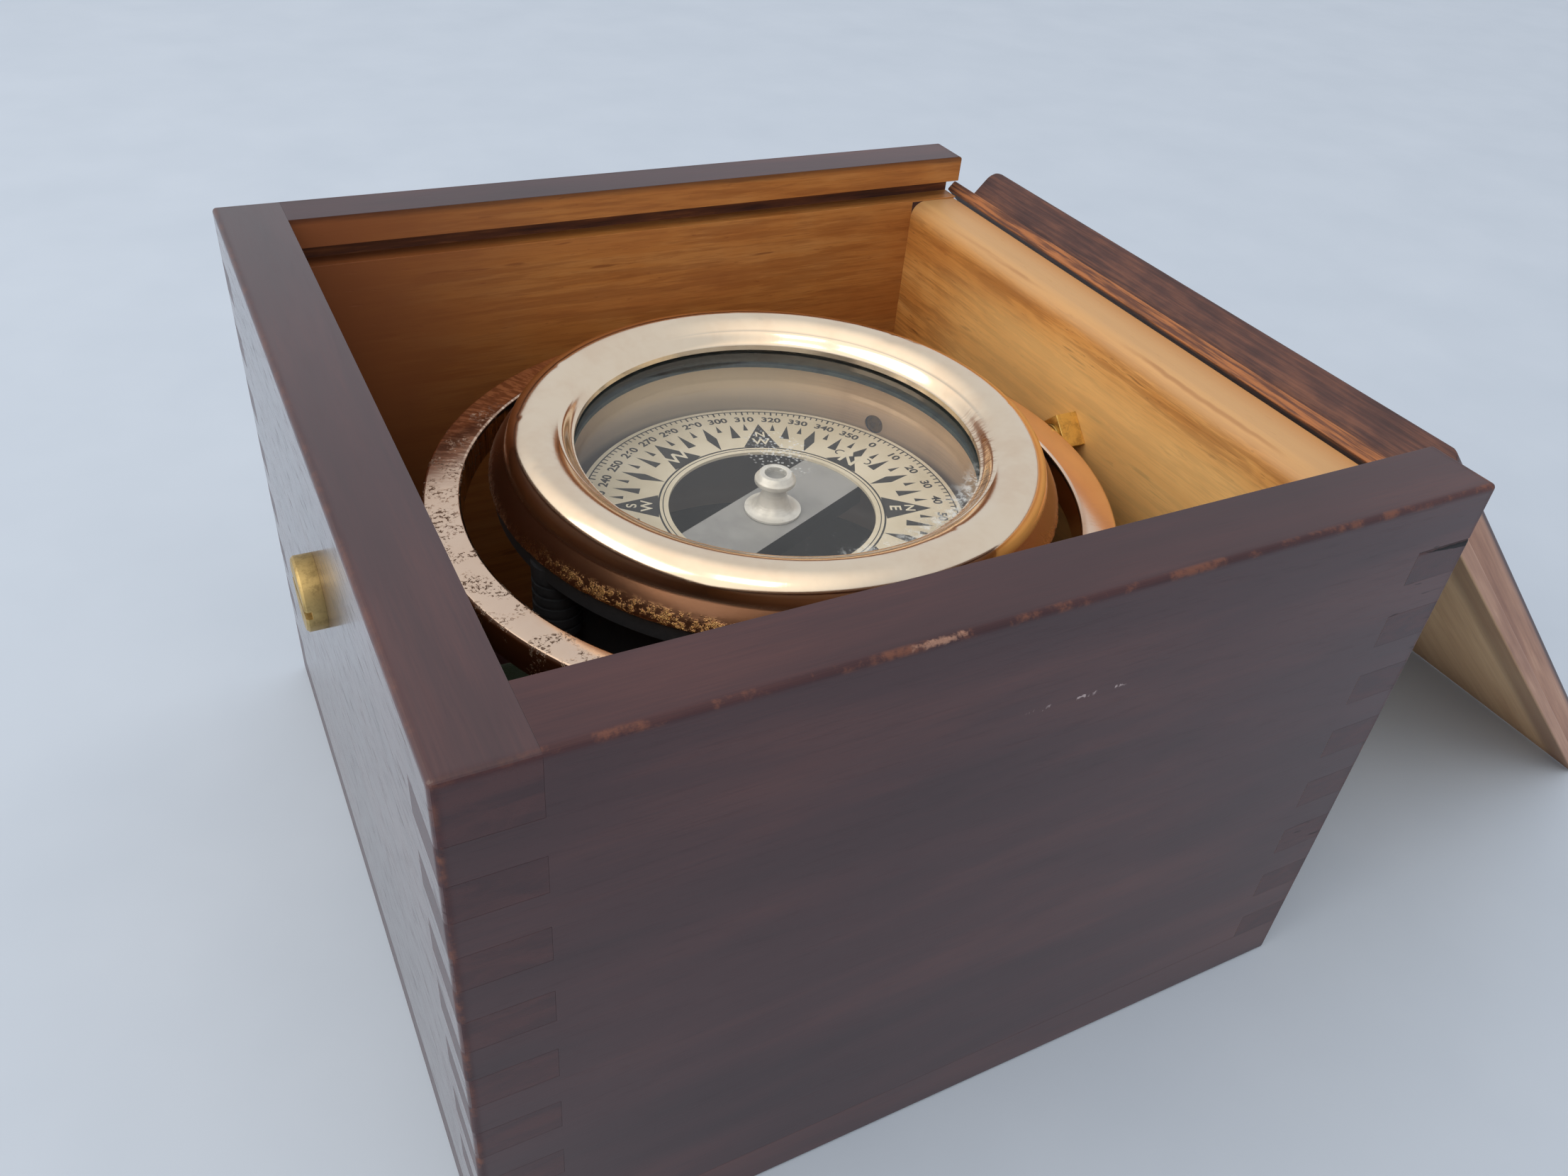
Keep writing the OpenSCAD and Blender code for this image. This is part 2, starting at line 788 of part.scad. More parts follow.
// Turned spool on the bar, hollow for the needle and the jewel
module card_hub() {
  neck_r = hub_r * 0.44;
  head_r = hub_r * 0.68;
  head_z = hub_h - 2.4;
  rim_r = hub_r * 0.5;
  pit_r = hub_r * 0.38;
  pit_d = 1;
  steps = 10;
  bore_top = jewel_z + jewel_h - hub_z;
  color("#b9bcc0")
    translate([0, 0, hub_z])
      rotate_extrude()
        polygon(concat(
          [[hub_bore_r, 0], [hub_r - 0.3, 0], [hub_r, 0.3], [hub_r, 0.6]],
          [for (i = [1 : steps])
            [neck_r + (hub_r - neck_r) * (1 - sin(90 * i / steps)),
             0.6 + (head_z - 1.1) * (1 - cos(90 * i / steps))]],
          [[neck_r, head_z - 0.2], [head_r - 0.3, head_z + 0.3], [head_r, head_z + 0.8],
           [head_r, head_z + 1.1], [rim_r, hub_h], [pit_r, hub_h], [pit_r, hub_h - pit_d],
           [0, hub_h - pit_d], [0, bore_top], [hub_bore_r, bore_top]]
        ));
}

module jewel() {
  color("#a83242")
    translate([0, 0, jewel_z])
      rotate_extrude()
        polygon([[cup_d, 0], [jewel_r, 0], [jewel_r, jewel_h], [0, jewel_h], [0, cup_d]]);
}

// Two bar magnets under the bar
module magnets() {
  magnet_h = 3.6;
  gap = 1.8;
  color("#2a2c30")
    rotate(card_turn)
      for (s = [-1, 1])
        translate([-magnet_l / 2, s * (gap + magnet_w / 2) - magnet_w / 2, bar_z - magnet_h])
          cube([magnet_l, magnet_w, magnet_h]);
}

front_wall();
back_wall();
left_wall();
right_wall();
base_panel();
felt_pad();
outer_pivot_screws();
outer_pivot_nuts();
lid();
gimbal_ring();
inner_pivot_screws();
bowl();
bezel_ring();
glass();
upper_gasket();
lower_gasket();
bezel_screws();
filler_plug();
plug_washer();
diaphragm();
ballast_weight();
ballast_screws();
pivot_post();
pivot_needle();
card_ring();
card_bar();
card_hub();
jewel();
magnets();
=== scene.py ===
"""Marine compass: a liquid-filled bowl on a gimbal in a finger-jointed box, the lid leant on the open end.

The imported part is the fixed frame. This script gives its boards worn edges and grain, turns the bronze
rings finely, prints the card and sets the studio. Meshes are in metres. Sizes in the classes and places
in the looks are in millimetres of the part's frame.
"""

import functools
import json
import logging
import math
import random
from dataclasses import dataclass
from enum import Enum
from typing import Callable, Sequence, Union

import bmesh
import bpy
from bmesh.types import BMesh, BMVert
from bpy.types import ColorRamp, Material, Mesh, MeshPolygon, NodeSocket, Object
from mathutils import Matrix, Vector, noise


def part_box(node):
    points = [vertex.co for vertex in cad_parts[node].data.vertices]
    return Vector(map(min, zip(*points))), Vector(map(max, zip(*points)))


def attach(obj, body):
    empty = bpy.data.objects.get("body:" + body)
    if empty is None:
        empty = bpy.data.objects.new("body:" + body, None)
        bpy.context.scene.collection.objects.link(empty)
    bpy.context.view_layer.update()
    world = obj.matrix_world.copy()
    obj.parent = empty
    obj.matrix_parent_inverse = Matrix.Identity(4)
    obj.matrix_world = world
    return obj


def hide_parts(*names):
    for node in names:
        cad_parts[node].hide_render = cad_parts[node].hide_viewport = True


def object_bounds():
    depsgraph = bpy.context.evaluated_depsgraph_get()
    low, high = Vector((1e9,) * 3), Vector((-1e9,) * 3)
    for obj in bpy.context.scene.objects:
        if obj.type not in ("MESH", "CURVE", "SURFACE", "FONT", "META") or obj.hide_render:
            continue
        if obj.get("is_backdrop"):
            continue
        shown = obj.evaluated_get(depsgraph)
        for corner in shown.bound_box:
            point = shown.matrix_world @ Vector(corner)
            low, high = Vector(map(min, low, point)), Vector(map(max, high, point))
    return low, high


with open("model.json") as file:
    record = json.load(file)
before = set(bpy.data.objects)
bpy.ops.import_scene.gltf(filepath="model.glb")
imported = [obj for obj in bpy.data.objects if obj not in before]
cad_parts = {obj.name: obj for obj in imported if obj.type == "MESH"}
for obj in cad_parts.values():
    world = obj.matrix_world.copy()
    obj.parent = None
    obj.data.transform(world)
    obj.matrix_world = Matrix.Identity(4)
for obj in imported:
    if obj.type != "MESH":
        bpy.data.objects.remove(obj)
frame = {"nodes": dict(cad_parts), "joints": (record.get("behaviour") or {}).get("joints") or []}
CAD_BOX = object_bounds()

MM = 0.001
LOG = logging.getLogger("marine_compass")
Colour = tuple[float, float, float]
Value = Union["Sock", float, int, Sequence[float]]
Point = tuple[float, float]
Place = tuple[float, float, float]


class Body(Enum):
    """Bodies of the part that a piece can ride on."""

    BOX = "box"
    LID = "lid"
    GIMBAL = "gimbal"
    BOWL = "bowl"
    CARD = "card"


class Grain(Enum):
    """Direction of a board's fibres."""

    ALONG_BOX = "along_box"
    ACROSS_BOX = "across_box"
    ALONG_LID = "along_lid"


class Face(Enum):
    """Kinds of face that a board of the box has, in the order of its material slots."""

    STAINED = 0
    PINE = 1
    END_GRAIN = 2
    GROOVE = 3


def srgb(red: int, green: int, blue: int) -> Colour:
    """A colour written as on a screen, 0 to 255, as linear light."""
    parts = (red / 255, green / 255, blue / 255)
    return tuple(c / 12.92 if c <= 0.04045 else ((c + 0.055) / 1.055) ** 2.4 for c in parts)


def node_box(node: str) -> tuple[Vector, Vector]:
    """Lowest and highest corner of a node of the frame, in millimetres."""
    low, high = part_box(node)
    return low / MM, high / MM


def joined(operation: str, swapped: bool = False) -> Callable[["Sock", Value], "Sock"]:
    """A method that puts a socket and another value, which comes first if swapped, in a Math node."""

    def method(self: "Sock", other: Value) -> "Sock":
        """Adds the node."""
        return self.math(operation, *((other, self) if swapped else (self, other)))

    return method


class Sock:
    """An output socket. Arithmetic on it adds Math nodes to its shader, and a comparison gives 1 or 0."""

    def __init__(self, shader: "Shader", socket: NodeSocket) -> None:
        """Wraps one socket of a shader."""
        self.shader = shader
        self.socket = socket

    def math(self, operation: str, *values: Value) -> "Sock":
        """A Math node on the given values."""
        return self.shader.node("ShaderNodeMath", {"operation": operation}, dict(enumerate(values)))

    __add__, __radd__ = joined("ADD"), joined("ADD", swapped=True)
    __sub__, __rsub__ = joined("SUBTRACT"), joined("SUBTRACT", swapped=True)
    __mul__, __rmul__ = joined("MULTIPLY"), joined("MULTIPLY", swapped=True)
    __truediv__, __pow__ = joined("DIVIDE"), joined("POWER")
    __lt__, __gt__ = joined("LESS_THAN"), joined("GREATER_THAN")
    least, most = joined("MINIMUM"), joined("MAXIMUM")

    def __neg__(self) -> "Sock":
        """The value with its sign turned."""
        return 0.0 - self

    def __abs__(self) -> "Sock":
        """Absolute value."""
        return self.math("ABSOLUTE", self)

    def rise(self, low: float, high: float) -> "Sock":
        """0 below `low`, 1 above `high` and a smooth rise between them; it falls where high is lower."""
        return self.shader.node(
            "ShaderNodeMapRange",
            {"interpolation_type": "SMOOTHSTEP"},
            {0: self, 1: low, 2: high, 3: 0.0, 4: 1.0},
        )


class Shader:
    """A material's node tree while it is being built."""

    def __init__(self, name: str) -> None:
        """Starts an empty material."""
        self.material = bpy.data.materials.new(name)
        self.material.use_nodes = True
        self.tree = self.material.node_tree
        self.tree.nodes.clear()

    def node(
        self, kind: str, settings: dict | None = None, inputs: dict | None = None, out: int | str = 0
    ) -> Sock:
        """Adds a node.

        Args:
            kind: the node's type.
            settings: its properties, set first; `stops` holds a ramp's places and colours.
            inputs: values or links by the socket's name or place.
            out: the output wanted.

        Returns:
            That output.
        """
        made = self.tree.nodes.new(kind)
        for key, value in (settings or {}).items():
            if key == "stops":
                self.set_stops(made.color_ramp, value)
            else:
                setattr(made, key, value)
        for key, value in (inputs or {}).items():
            self.feed(made.inputs[key], value)
        return Sock(self, made.outputs[out])

    def feed(self, socket: NodeSocket, value: Value) -> None:
        """Links a socket, or sets its number or colour."""
        if isinstance(value, Sock):
            self.tree.links.new(value.socket, socket)
        elif socket.type == "RGBA" and len(value) == 3:
            socket.default_value = (*value, 1.0)
        else:
            socket.default_value = value

    @staticmethod
    def set_stops(ramp: ColorRamp, stops: Sequence[tuple[float, Colour]]) -> None:
        """Gives a colour ramp its stops."""
        while len(ramp.elements) < len(stops):
            ramp.elements.new(1.0)
        for element, (place, colour) in zip(ramp.elements, stops):
            element.position = place
            element.color = (*colour, 1.0)

    def position(self) -> Sock:
        """Place on the piece at rest, in millimetres of the part's frame."""
        place = self.node("ShaderNodeTexCoord", out="Object")
        return self.node("ShaderNodeVectorMath", {"operation": "SCALE"}, {0: place, "Scale": 1 / MM})

    def axes(self, place: Sock) -> tuple[Sock, Sock, Sock]:
        """The three parts of a vector."""
        parts = self.node("ShaderNodeSeparateXYZ", inputs={0: place}).socket.node
        return tuple(Sock(self, output) for output in parts.outputs)

    def vector(self, x: Value, y: Value, z: Value) -> Sock:
        """A vector from three values."""
        return self.node("ShaderNodeCombineXYZ", inputs={0: x, 1: y, 2: z})

    def scaled(self, place: Sock, by: Sequence[float]) -> Sock:
        """A vector multiplied part by part."""
        return self.node("ShaderNodeVectorMath", {"operation": "MULTIPLY"}, {0: place, 1: by})

    def moved(self, place: Sock, by: Value) -> Sock:
        """A vector with another added."""
        return self.node("ShaderNodeVectorMath", {"operation": "ADD"}, {0: place, 1: by})

    def polar(self, place: Sock) -> tuple[Sock, Sock, Sock, Sock]:
        """The three parts of a place, and its distance from the Z axis."""
        x, y, z = self.axes(place)
        return x, y, z, (x * x + y * y) ** 0.5

    def noise(
        self, place: Sock, scale: float, detail: float = 3.0, roughness: float = 0.55, twist: float = 0.0
    ) -> Sock:
        """Soft noise from 0 to 1."""
        inputs = {"Scale": scale, "Detail": detail, "Roughness": roughness, "Distortion": twist}
        return self.node("ShaderNodeTexNoise", inputs={"Vector": place, **inputs})

    def round_axis(self, place: Sock, spread: float, radial: float) -> Sock:
        """Place measured round the Z axis, for marks that run outwards from it.

        Args:
            place: the place in millimetres.
            spread: radius at which a step round the axis counts as itself.
            radial: how much a step outwards counts.

        Returns:
            The direction from the axis at length `spread`, raised by the weighted radius.
        """
        flat = self.scaled(place, (1.0, 1.0, 0.0))
        away = self.node("ShaderNodeVectorMath", {"operation": "LENGTH"}, {0: flat}, "Value")
        unit = self.node("ShaderNodeVectorMath", {"operation": "NORMALIZE"}, {0: flat})
        return self.moved(self.scaled(unit, (spread,) * 3), self.vector(0.0, 0.0, away * radial))

    def cells(self, place: Sock, scale: float) -> Sock:
        """Distance to the nearest of scattered points."""
        return self.node("ShaderNodeTexVoronoi", inputs={"Vector": place, "Scale": scale})

    def ramp(self, value: Sock, stops: Sequence[tuple[float, Colour]]) -> Sock:
        """A colour ramp."""
        return self.node("ShaderNodeValToRGB", {"stops": stops}, {0: value})

    def mix(self, share: Value, first: Value, second: Value) -> Sock:
        """Two colours mixed, `share` being that of the second."""
        return self.node("ShaderNodeMix", {"data_type": "RGBA"}, {0: share, 6: first, 7: second}, 2)

    def bump(self, height: Sock, depth: float, strength: float) -> Sock:
        """A bump of `depth` millimetres."""
        return self.node(
            "ShaderNodeBump", inputs={"Height": height, "Distance": depth * MM, "Strength": strength}
        )

    def principled(self, **inputs: Value) -> Sock:
        """A Principled shader; an underscore in a name stands for a space."""
        named = {key.replace("_", " "): value for key, value in inputs.items()}
        if "Specular IOR Level" not in named:
            named["IOR"] = 1.5
        return self.node("ShaderNodeBsdfPrincipled", inputs=named)

    def finish(self, surface: Sock) -> Material:
        """Ends the tree with a surface and returns the material."""
        end = self.tree.nodes.new("ShaderNodeOutputMaterial")
        self.tree.links.new(surface.socket, end.inputs["Surface"])
        return self.material


@dataclass(frozen=True)
class Case:
    """Main planes of the wooden box, in millimetres."""

    end_x: float
    edge_y: float
    base_t: float
    front_y: float
    back_y: float
    wall_x: float
    top_z: float
    sill_z: float

    @classmethod
    def from_frame(cls) -> "Case":
        """Reads the planes off the frame's boards."""
        base, front, back, right = map(node_box, ("base_panel", "front_wall", "back_wall", "right_wall"))
        return cls(
            end_x=base[1].x, edge_y=base[1].y, base_t=base[1].z, front_y=front[1].y, back_y=back[0].y,
            wall_x=right[0].x, top_z=front[1].z, sill_z=right[1].z,
        )


CASE = Case.from_frame()
LID_HINGE = next(joint for joint in frame["joints"] if joint["name"] == "lid_tilt")
LID_LEAN = math.radians(43.26)
LID_HALF_BODY = (CASE.back_y - CASE.front_y) / 2 - 0.3
RUBBED = srgb(140, 88, 64)
PORE = srgb(34, 21, 25)
CRACK = srgb(14, 9, 10)


@dataclass(frozen=True)
class Finish:
    """A look: its name, and the surface that a subclass gives it."""

    name: str

    @functools.cache
    def material(self) -> Material:
        """The material, built once."""
        s = Shader(self.name)
        return s.finish(self.surface(s, s.position()))

    def surface(self, s: Shader, place: Sock) -> Sock:
        """Builds the surface.

        Args:
            s: the shader to add to.
            place: the place at rest, in millimetres.

        Returns:
            The surface's output.
        """
        raise NotImplementedError


@dataclass(frozen=True)
class BoardFinish(Finish):
    """What the finishes of the boards share: the grain's direction, a start for its noise, and wear."""

    grain: Grain = Grain.ALONG_BOX
    shift: float = 0.0

    def fibres(self, shader: Shader, stretch: float) -> Sock:
        """Place on the board, squeezed along its grain.

        Args:
            shader: the shader to add to.
            stretch: how many times longer than wide the fibres come out.

        Returns:
            The place in millimetres, with the length along the grain divided by `stretch`.
        """
        place = shader.moved(shader.position(), (0.0, 0.0, self.shift))
        if self.grain is Grain.ACROSS_BOX:
            return shader.scaled(place, (1.0, 1 / stretch, 1.0))
        if self.grain is Grain.ALONG_LID:
            place = shader.node(
                "ShaderNodeVectorRotate", {"rotation_type": "Y_AXIS"}, {"Vector": place, "Angle": -LID_LEAN}
            )
        return shader.scaled(place, (1 / stretch, 1.0, 1.0))

    @staticmethod
    def open_end(s: Shader, place: Sock) -> Sock:
        """The crack and the small slits where the fingers meet at the open end of the near wall.

        Args:
            s: the shader to add to.
            place: the place in millimetres.

        Returns:
            The mask.
        """
        crack_x, crack_z, spread, slant = CASE.end_x - 10.4, CASE.sill_z - 1.0, 0.06, 0.05
        x, y, z = s.axes(place)
        ragged = s.noise(place, 0.9, 3, 0.7) - 0.5
        width = (x - crack_x) * spread
        gap = abs(z - crack_z + (x - CASE.end_x) * slant + ragged * 0.5)
        crack = (width - gap).rise(-0.05, 0.08) * (width > 0.0)
        fine = s.noise(s.scaled(place, (0.3, 1.0, 2.6)), 0.7, 2, 0.5).rise(0.7, 0.74)
        slits = fine * x.rise(CASE.end_x - 18, CASE.end_x - 8)
        return crack.most(slits * 0.7) * (y + CASE.edge_y).rise(0.7, 0.4)

    @staticmethod
    def edge_wear(s: Shader, place: Sock, worn: float) -> tuple[Sock, Sock]:
        """Where the outer edges of the box are, and where they are rubbed through.

        Args:
            s: the shader to add to.
            place: the place in millimetres.
            worn: how far the edges are rubbed through.

        Returns:
            A mask of the edges, and the same broken up by noise.
        """
        x, y, z = s.axes(place)
        from_end, from_side, from_top = CASE.end_x - abs(x), CASE.edge_y - abs(y), abs(CASE.top_z - z)
        edge = (from_top + from_side).least(from_end + from_side).least(from_top + from_end)
        broken = s.noise(place, 0.2, 5, 0.72).rise(0.54, 0.36)
        return edge.rise(1.6, 0.5), edge.rise(1.2, 0.45) * broken * worn


@dataclass(frozen=True)
class DarkStain(BoardFinish):
    """Mahogany-coloured stain on the outer faces, orange where edges are worn."""

    worn: float = 0.25
    red: float = 0.2
    gloss: float = 0.55
    open_pores: float = 0.15
    scarred: bool = False

    def surface(self, s: Shader, place: Sock) -> Sock:
        """Builds the surface."""
        broad = s.noise(self.fibres(s, 6), 0.07, 3, 0.55, 0.3)
        fibre = s.noise(self.fibres(s, 30), 2.6, 3, 0.65)
        tone = broad * 0.75 + fibre * 0.25
        colour = s.ramp(tone, [(0.32, srgb(50, 27, 31)), (0.5, srgb(63, 35, 38)), (0.68, srgb(80, 46, 45))])
        streak = s.noise(self.fibres(s, 7), 0.16, 3, 0.6).rise(0.5, 0.74) * broad.rise(0.42, 0.62)
        colour = s.mix(streak * self.red, colour, srgb(108, 56, 48))
        edge, rubbed = self.edge_wear(s, place, self.worn)
        colour = s.mix(rubbed * 0.7, colour, RUBBED)
        marks: Value = 0.0
        if self.scarred:
            colour, marks = self.scars(s, place, colour)
        side = (CASE.top_z - s.axes(place)[2]).rise(0.1, 0.8) * self.open_pores + 0.15
        pore = s.noise(self.fibres(s, 16), 2.2, 3, 0.6).rise(0.52, 0.68) * side
        return s.principled(
            Base_Color=s.mix(pore * 0.35, colour, PORE),
            Roughness=0.46 + fibre * 0.12 + rubbed * 0.2,
            Normal=s.bump(fibre * 0.4 - pore * 0.8, 0.03, 0.7),
            Coat_Weight=(self.gloss - pore * self.gloss * 0.5 - edge * 0.3) * (1.0 - marks),
            Coat_Roughness=0.16,
            Specular_IOR_Level=0.3,
        )

    def scars(self, s: Shader, place: Sock, colour: Sock) -> tuple[Sock, Sock]:
        """Knocks in the near wall: a chip on its top edge, scratches and a crack at the open end.

        Args:
            s: the shader to add to.
            place: the place in millimetres.
            colour: the stain's colour.

        Returns:
            The colour with the knocks, and a mask of them.
        """
        chip_x, chip_half = CASE.end_x * 0.245, 7.0
        scratch_x, scratch_half, scratch_z, slant = 5.5, 8.0, CASE.top_z - 18.0, 0.03
        x, y, z = s.axes(place)
        ragged = s.noise(place, 0.9, 3, 0.7) - 0.5
        off = abs(x + chip_x) / chip_half
        depth = (CASE.top_z - z) * 1.4 + (y + CASE.edge_y) * 1.2
        chip = (off * off + depth + ragged * 1.8).rise(1.1, 0.5)
        colour = s.mix(chip * 0.65, colour, srgb(182, 140, 118))
        line = abs(z - scratch_z + (x - scratch_x) * slant + ragged * 1.6)
        dash = s.noise(s.scaled(place, (1.0, 1.0, 0.2)), 0.8, 2).rise(0.5, 0.58)
        reach = abs(x - scratch_x).rise(scratch_half + 1, scratch_half - 1) * (y + CASE.edge_y).rise(1.0, 0.5)
        colour = s.mix(line.rise(0.28, 0.14) * reach * dash * 0.7, colour, srgb(196, 178, 176))
        split = self.open_end(s, place)
        return s.mix(split, colour, CRACK), split.most(chip * 0.3)


@dataclass(frozen=True)
class GoldenPine(BoardFinish):
    """Varnished amber pine of the inner faces, with short flecks and a top edge worn pale by sanding; some
    faces carry painted shade, one a painted pool of light.
    """

    # How pale the top edge is worn by sanding; any nonzero value also brings a painted pool of light on the
    # inner face.
    sanded: float = 0.0
    # Painted shade towards the left end of the face, as cast by the left wall; any nonzero value also lets
    # stain bleed under the top edge.
    dark: float = 0.0
    # Painted shade: a share of dark brown over the whole face, for inner faces that lie in shade.
    soaked: float = 0.0
    # Painted shade: a share of deeper, darker amber over the whole face.
    deep: float = 0.0

    def surface(self, s: Shader, place: Sock) -> Sock:
        """Builds the surface."""
        x, y, z = s.axes(place)
        broad = s.noise(self.fibres(s, 10), 0.13, 3, 0.6, 0.5)
        fibre = s.noise(self.fibres(s, 30), 1.5, 4, 0.6)
        cloud = s.noise(place, 0.06, 3, 0.6)
        tone = broad * 0.5 + fibre * 0.2 + cloud * 0.3
        stops = [(0.3, srgb(180, 110, 50)), (0.5, srgb(214, 148, 76)), (0.7, srgb(238, 182, 110))]
        colour = s.ramp(tone, stops)
        streak = s.noise(self.fibres(s, 14), 0.5, 4, 0.7)
        colour = s.mix(streak.rise(0.46, 0.6) * 0.45, colour, srgb(142, 86, 40))
        fine = s.noise(self.fibres(s, 26), 3.2, 2, 0.6).rise(0.5, 0.66)
        colour = s.mix(fine * 0.25, colour, srgb(120, 70, 34))
        fleck = s.noise(self.fibres(s, 5), 1.3, 2, 0.5).rise(0.66, 0.76)
        colour = s.mix(fleck * 0.45, colour, srgb(120, 64, 30))
        dash = s.noise(self.fibres(s, 11), 0.6, 2, 0.5).rise(0.7, 0.76)
        colour = s.mix(dash * 0.6, colour, srgb(92, 46, 24))
        # Painted shadow: the face turns darker brown towards its left end.
        stain = (cloud * 30 - x * self.dark).rise(25, 80)
        colour = s.mix(stain * min(1.0, self.dark), colour, srgb(146, 92, 60))
        # Painted shade over the whole face.
        colour = s.mix(self.deep, colour, srgb(146, 78, 34))
        # Painted shade over the whole face.
        colour = s.mix(self.soaked, colour, srgb(66, 34, 24))
        if self.dark:
            bleed = (CASE.top_z - z + streak * 2.4).rise(2.9, 1.2)
            colour = s.mix(bleed * 0.7, colour, srgb(66, 36, 26))
        if self.sanded:
            depth = CASE.sill_z - z
            # Painted light: the inner face is paler over most of its length, fading out towards the back
            # corner and the top.
            colour = s.mix(y.rise(66, 20) * depth.rise(3, 12) * 0.55, colour, srgb(250, 208, 138))
            edge = (depth + cloud * 3.0).rise(6.5, 1.5)
            colour = s.mix(edge * self.sanded, colour, srgb(204, 160, 108))
            line = abs(x - CASE.wall_x - 0.9 - cloud * 1.6).rise(0.6, 0.1) * broad.rise(0.42, 0.6)
            colour = s.mix(line * 0.5, colour, srgb(140, 84, 42))
            back = x.rise(CASE.wall_x + 5.5, CASE.wall_x + 11.0)
            colour = s.mix(back * 0.5, colour, srgb(190, 128, 68))
        rough = 0.36 + fibre * 0.14 + fleck * 0.1
        normal = s.bump(fibre * 0.6 + broad * 0.5 - fleck * 0.5, 0.06, 0.6)
        return s.principled(Base_Color=colour, Roughness=rough, Normal=normal)


@dataclass(frozen=True)
class StainedEndGrain(BoardFinish):
    """Stain taken into cut fibre ends: darker, rougher and full of pores."""

    def surface(self, s: Shader, place: Sock) -> Sock:
        """Builds the surface."""
        rings = s.noise(s.scaled(place, (0.25, 1.0, 1.0)), 0.4, 3, 0.6, 0.8)
        pore = s.cells(place, 2.6).rise(0.3, 0.12)
        colour = s.ramp(rings, [(0.35, srgb(55, 30, 34)), (0.65, srgb(72, 41, 42))])
        colour = s.mix(pore * 0.2, colour, PORE)
        edge, rubbed = self.edge_wear(s, place, 0.4)
        split = self.open_end(s, place)
        colour = s.mix(split, s.mix(rubbed * 0.65, colour, RUBBED), CRACK)
        return s.principled(
            Base_Color=colour,
            Roughness=0.48 + rings * 0.12,
            Normal=s.bump(rings * 0.4 - pore * 0.5, 0.05, 0.7),
            Coat_Weight=(0.44 - edge * 0.3) * (1.0 - split),
            Coat_Roughness=0.18,
            Specular_IOR_Level=0.3,
        )


@dataclass(frozen=True)
class GrooveStain(BoardFinish):
    """Darker streaked brown on the back and ceiling of the lid's grooves: painted shade of the recess."""

    def surface(self, s: Shader, place: Sock) -> Sock:
        """Builds the surface."""
        streak = s.noise(self.fibres(s, 12), 0.5, 4, 0.65)
        stops = [(0.35, srgb(74, 40, 28)), (0.55, srgb(116, 66, 38)), (0.75, srgb(168, 104, 56))]
        return s.principled(Base_Color=s.ramp(streak, stops), Roughness=0.6, Normal=s.bump(streak, 0.1, 0.8))


@dataclass(frozen=True)
class LidStain(BoardFinish):
    """Dark satin stain of the lid: rubbed orange along its end, brown on the sides, golden below."""

    def surface(self, s: Shader, place: Sock) -> Sock:
        """Builds the surface."""
        hinge = Vector(LID_HINGE["pos_m"]) / MM
        level = s.node(
            "ShaderNodeVectorRotate", {"rotation_type": "Y_AXIS"},
            {"Vector": s.moved(place, tuple(-c for c in hinge)), "Angle": -LID_LEAN},
        )
        along, across, up = s.axes(level)
        off = abs(across - 1.0)
        broad = s.noise(self.fibres(s, 14), 0.2, 3, 0.6, 0.4)
        fibre = s.noise(self.fibres(s, 40), 1.4, 4, 0.65)
        tone = broad * 0.6 + fibre * 0.4
        tops = (srgb(54, 36, 40), srgb(74, 49, 52), srgb(96, 62, 58))
        sides = (srgb(140, 98, 80), srgb(186, 144, 120), srgb(220, 186, 160))
        unders = (srgb(204, 156, 108), srgb(232, 192, 142), srgb(244, 212, 168))
        top, side, under = (s.ramp(tone, list(zip((0.3, 0.55, 0.75), c))) for c in (tops, sides, unders))
        low_end = along.rise(60.0, 150.0) * 0.35 + off.rise(LID_HALF_BODY - 4, LID_HALF_BODY) * 0.5
        under = s.mix(low_end, under, srgb(116, 78, 56))
        colour = s.mix(off.rise(LID_HALF_BODY - 0.6, LID_HALF_BODY), top, side)
        colour = s.mix(up.rise(0.5, 0.05), colour, under)
        line = s.noise(s.scaled(level, (1.0, 0.06, 1.6)), 0.9, 4, 0.65)
        cloud = s.noise(s.scaled(level, (1.0, 0.5, 1.0)), 0.16, 3, 0.6)
        on_end = along.rise(5.4, 4.4)
        stops = [(0.36, srgb(56, 37, 38)), (0.5, srgb(82, 53, 48)), (0.68, srgb(122, 79, 62))]
        colour = s.mix(on_end * 0.9, colour, s.ramp(line * 0.6 + cloud * 0.4, stops))
        rubbed = on_end * up.rise(6.4, 3.8) * (cloud * 0.5 + line * 0.5).rise(0.44, 0.64)
        colour = s.mix(rubbed * 0.16, colour, srgb(158, 104, 68))
        tongue = along.rise(1.9, 0.9) * up.rise(4.2, 3.4)
        bared = s.mix(line.rise(0.4, 0.6), srgb(104, 62, 42), srgb(196, 124, 66))
        colour = s.mix(tongue * 0.6, colour, bared)
        rough = 0.44 + fibre * 0.16 + on_end * 0.15
        normal = s.bump(fibre * 0.5 + line * on_end * 2.0, 0.1, 0.8)
        return s.principled(Base_Color=colour, Roughness=rough, Normal=normal)


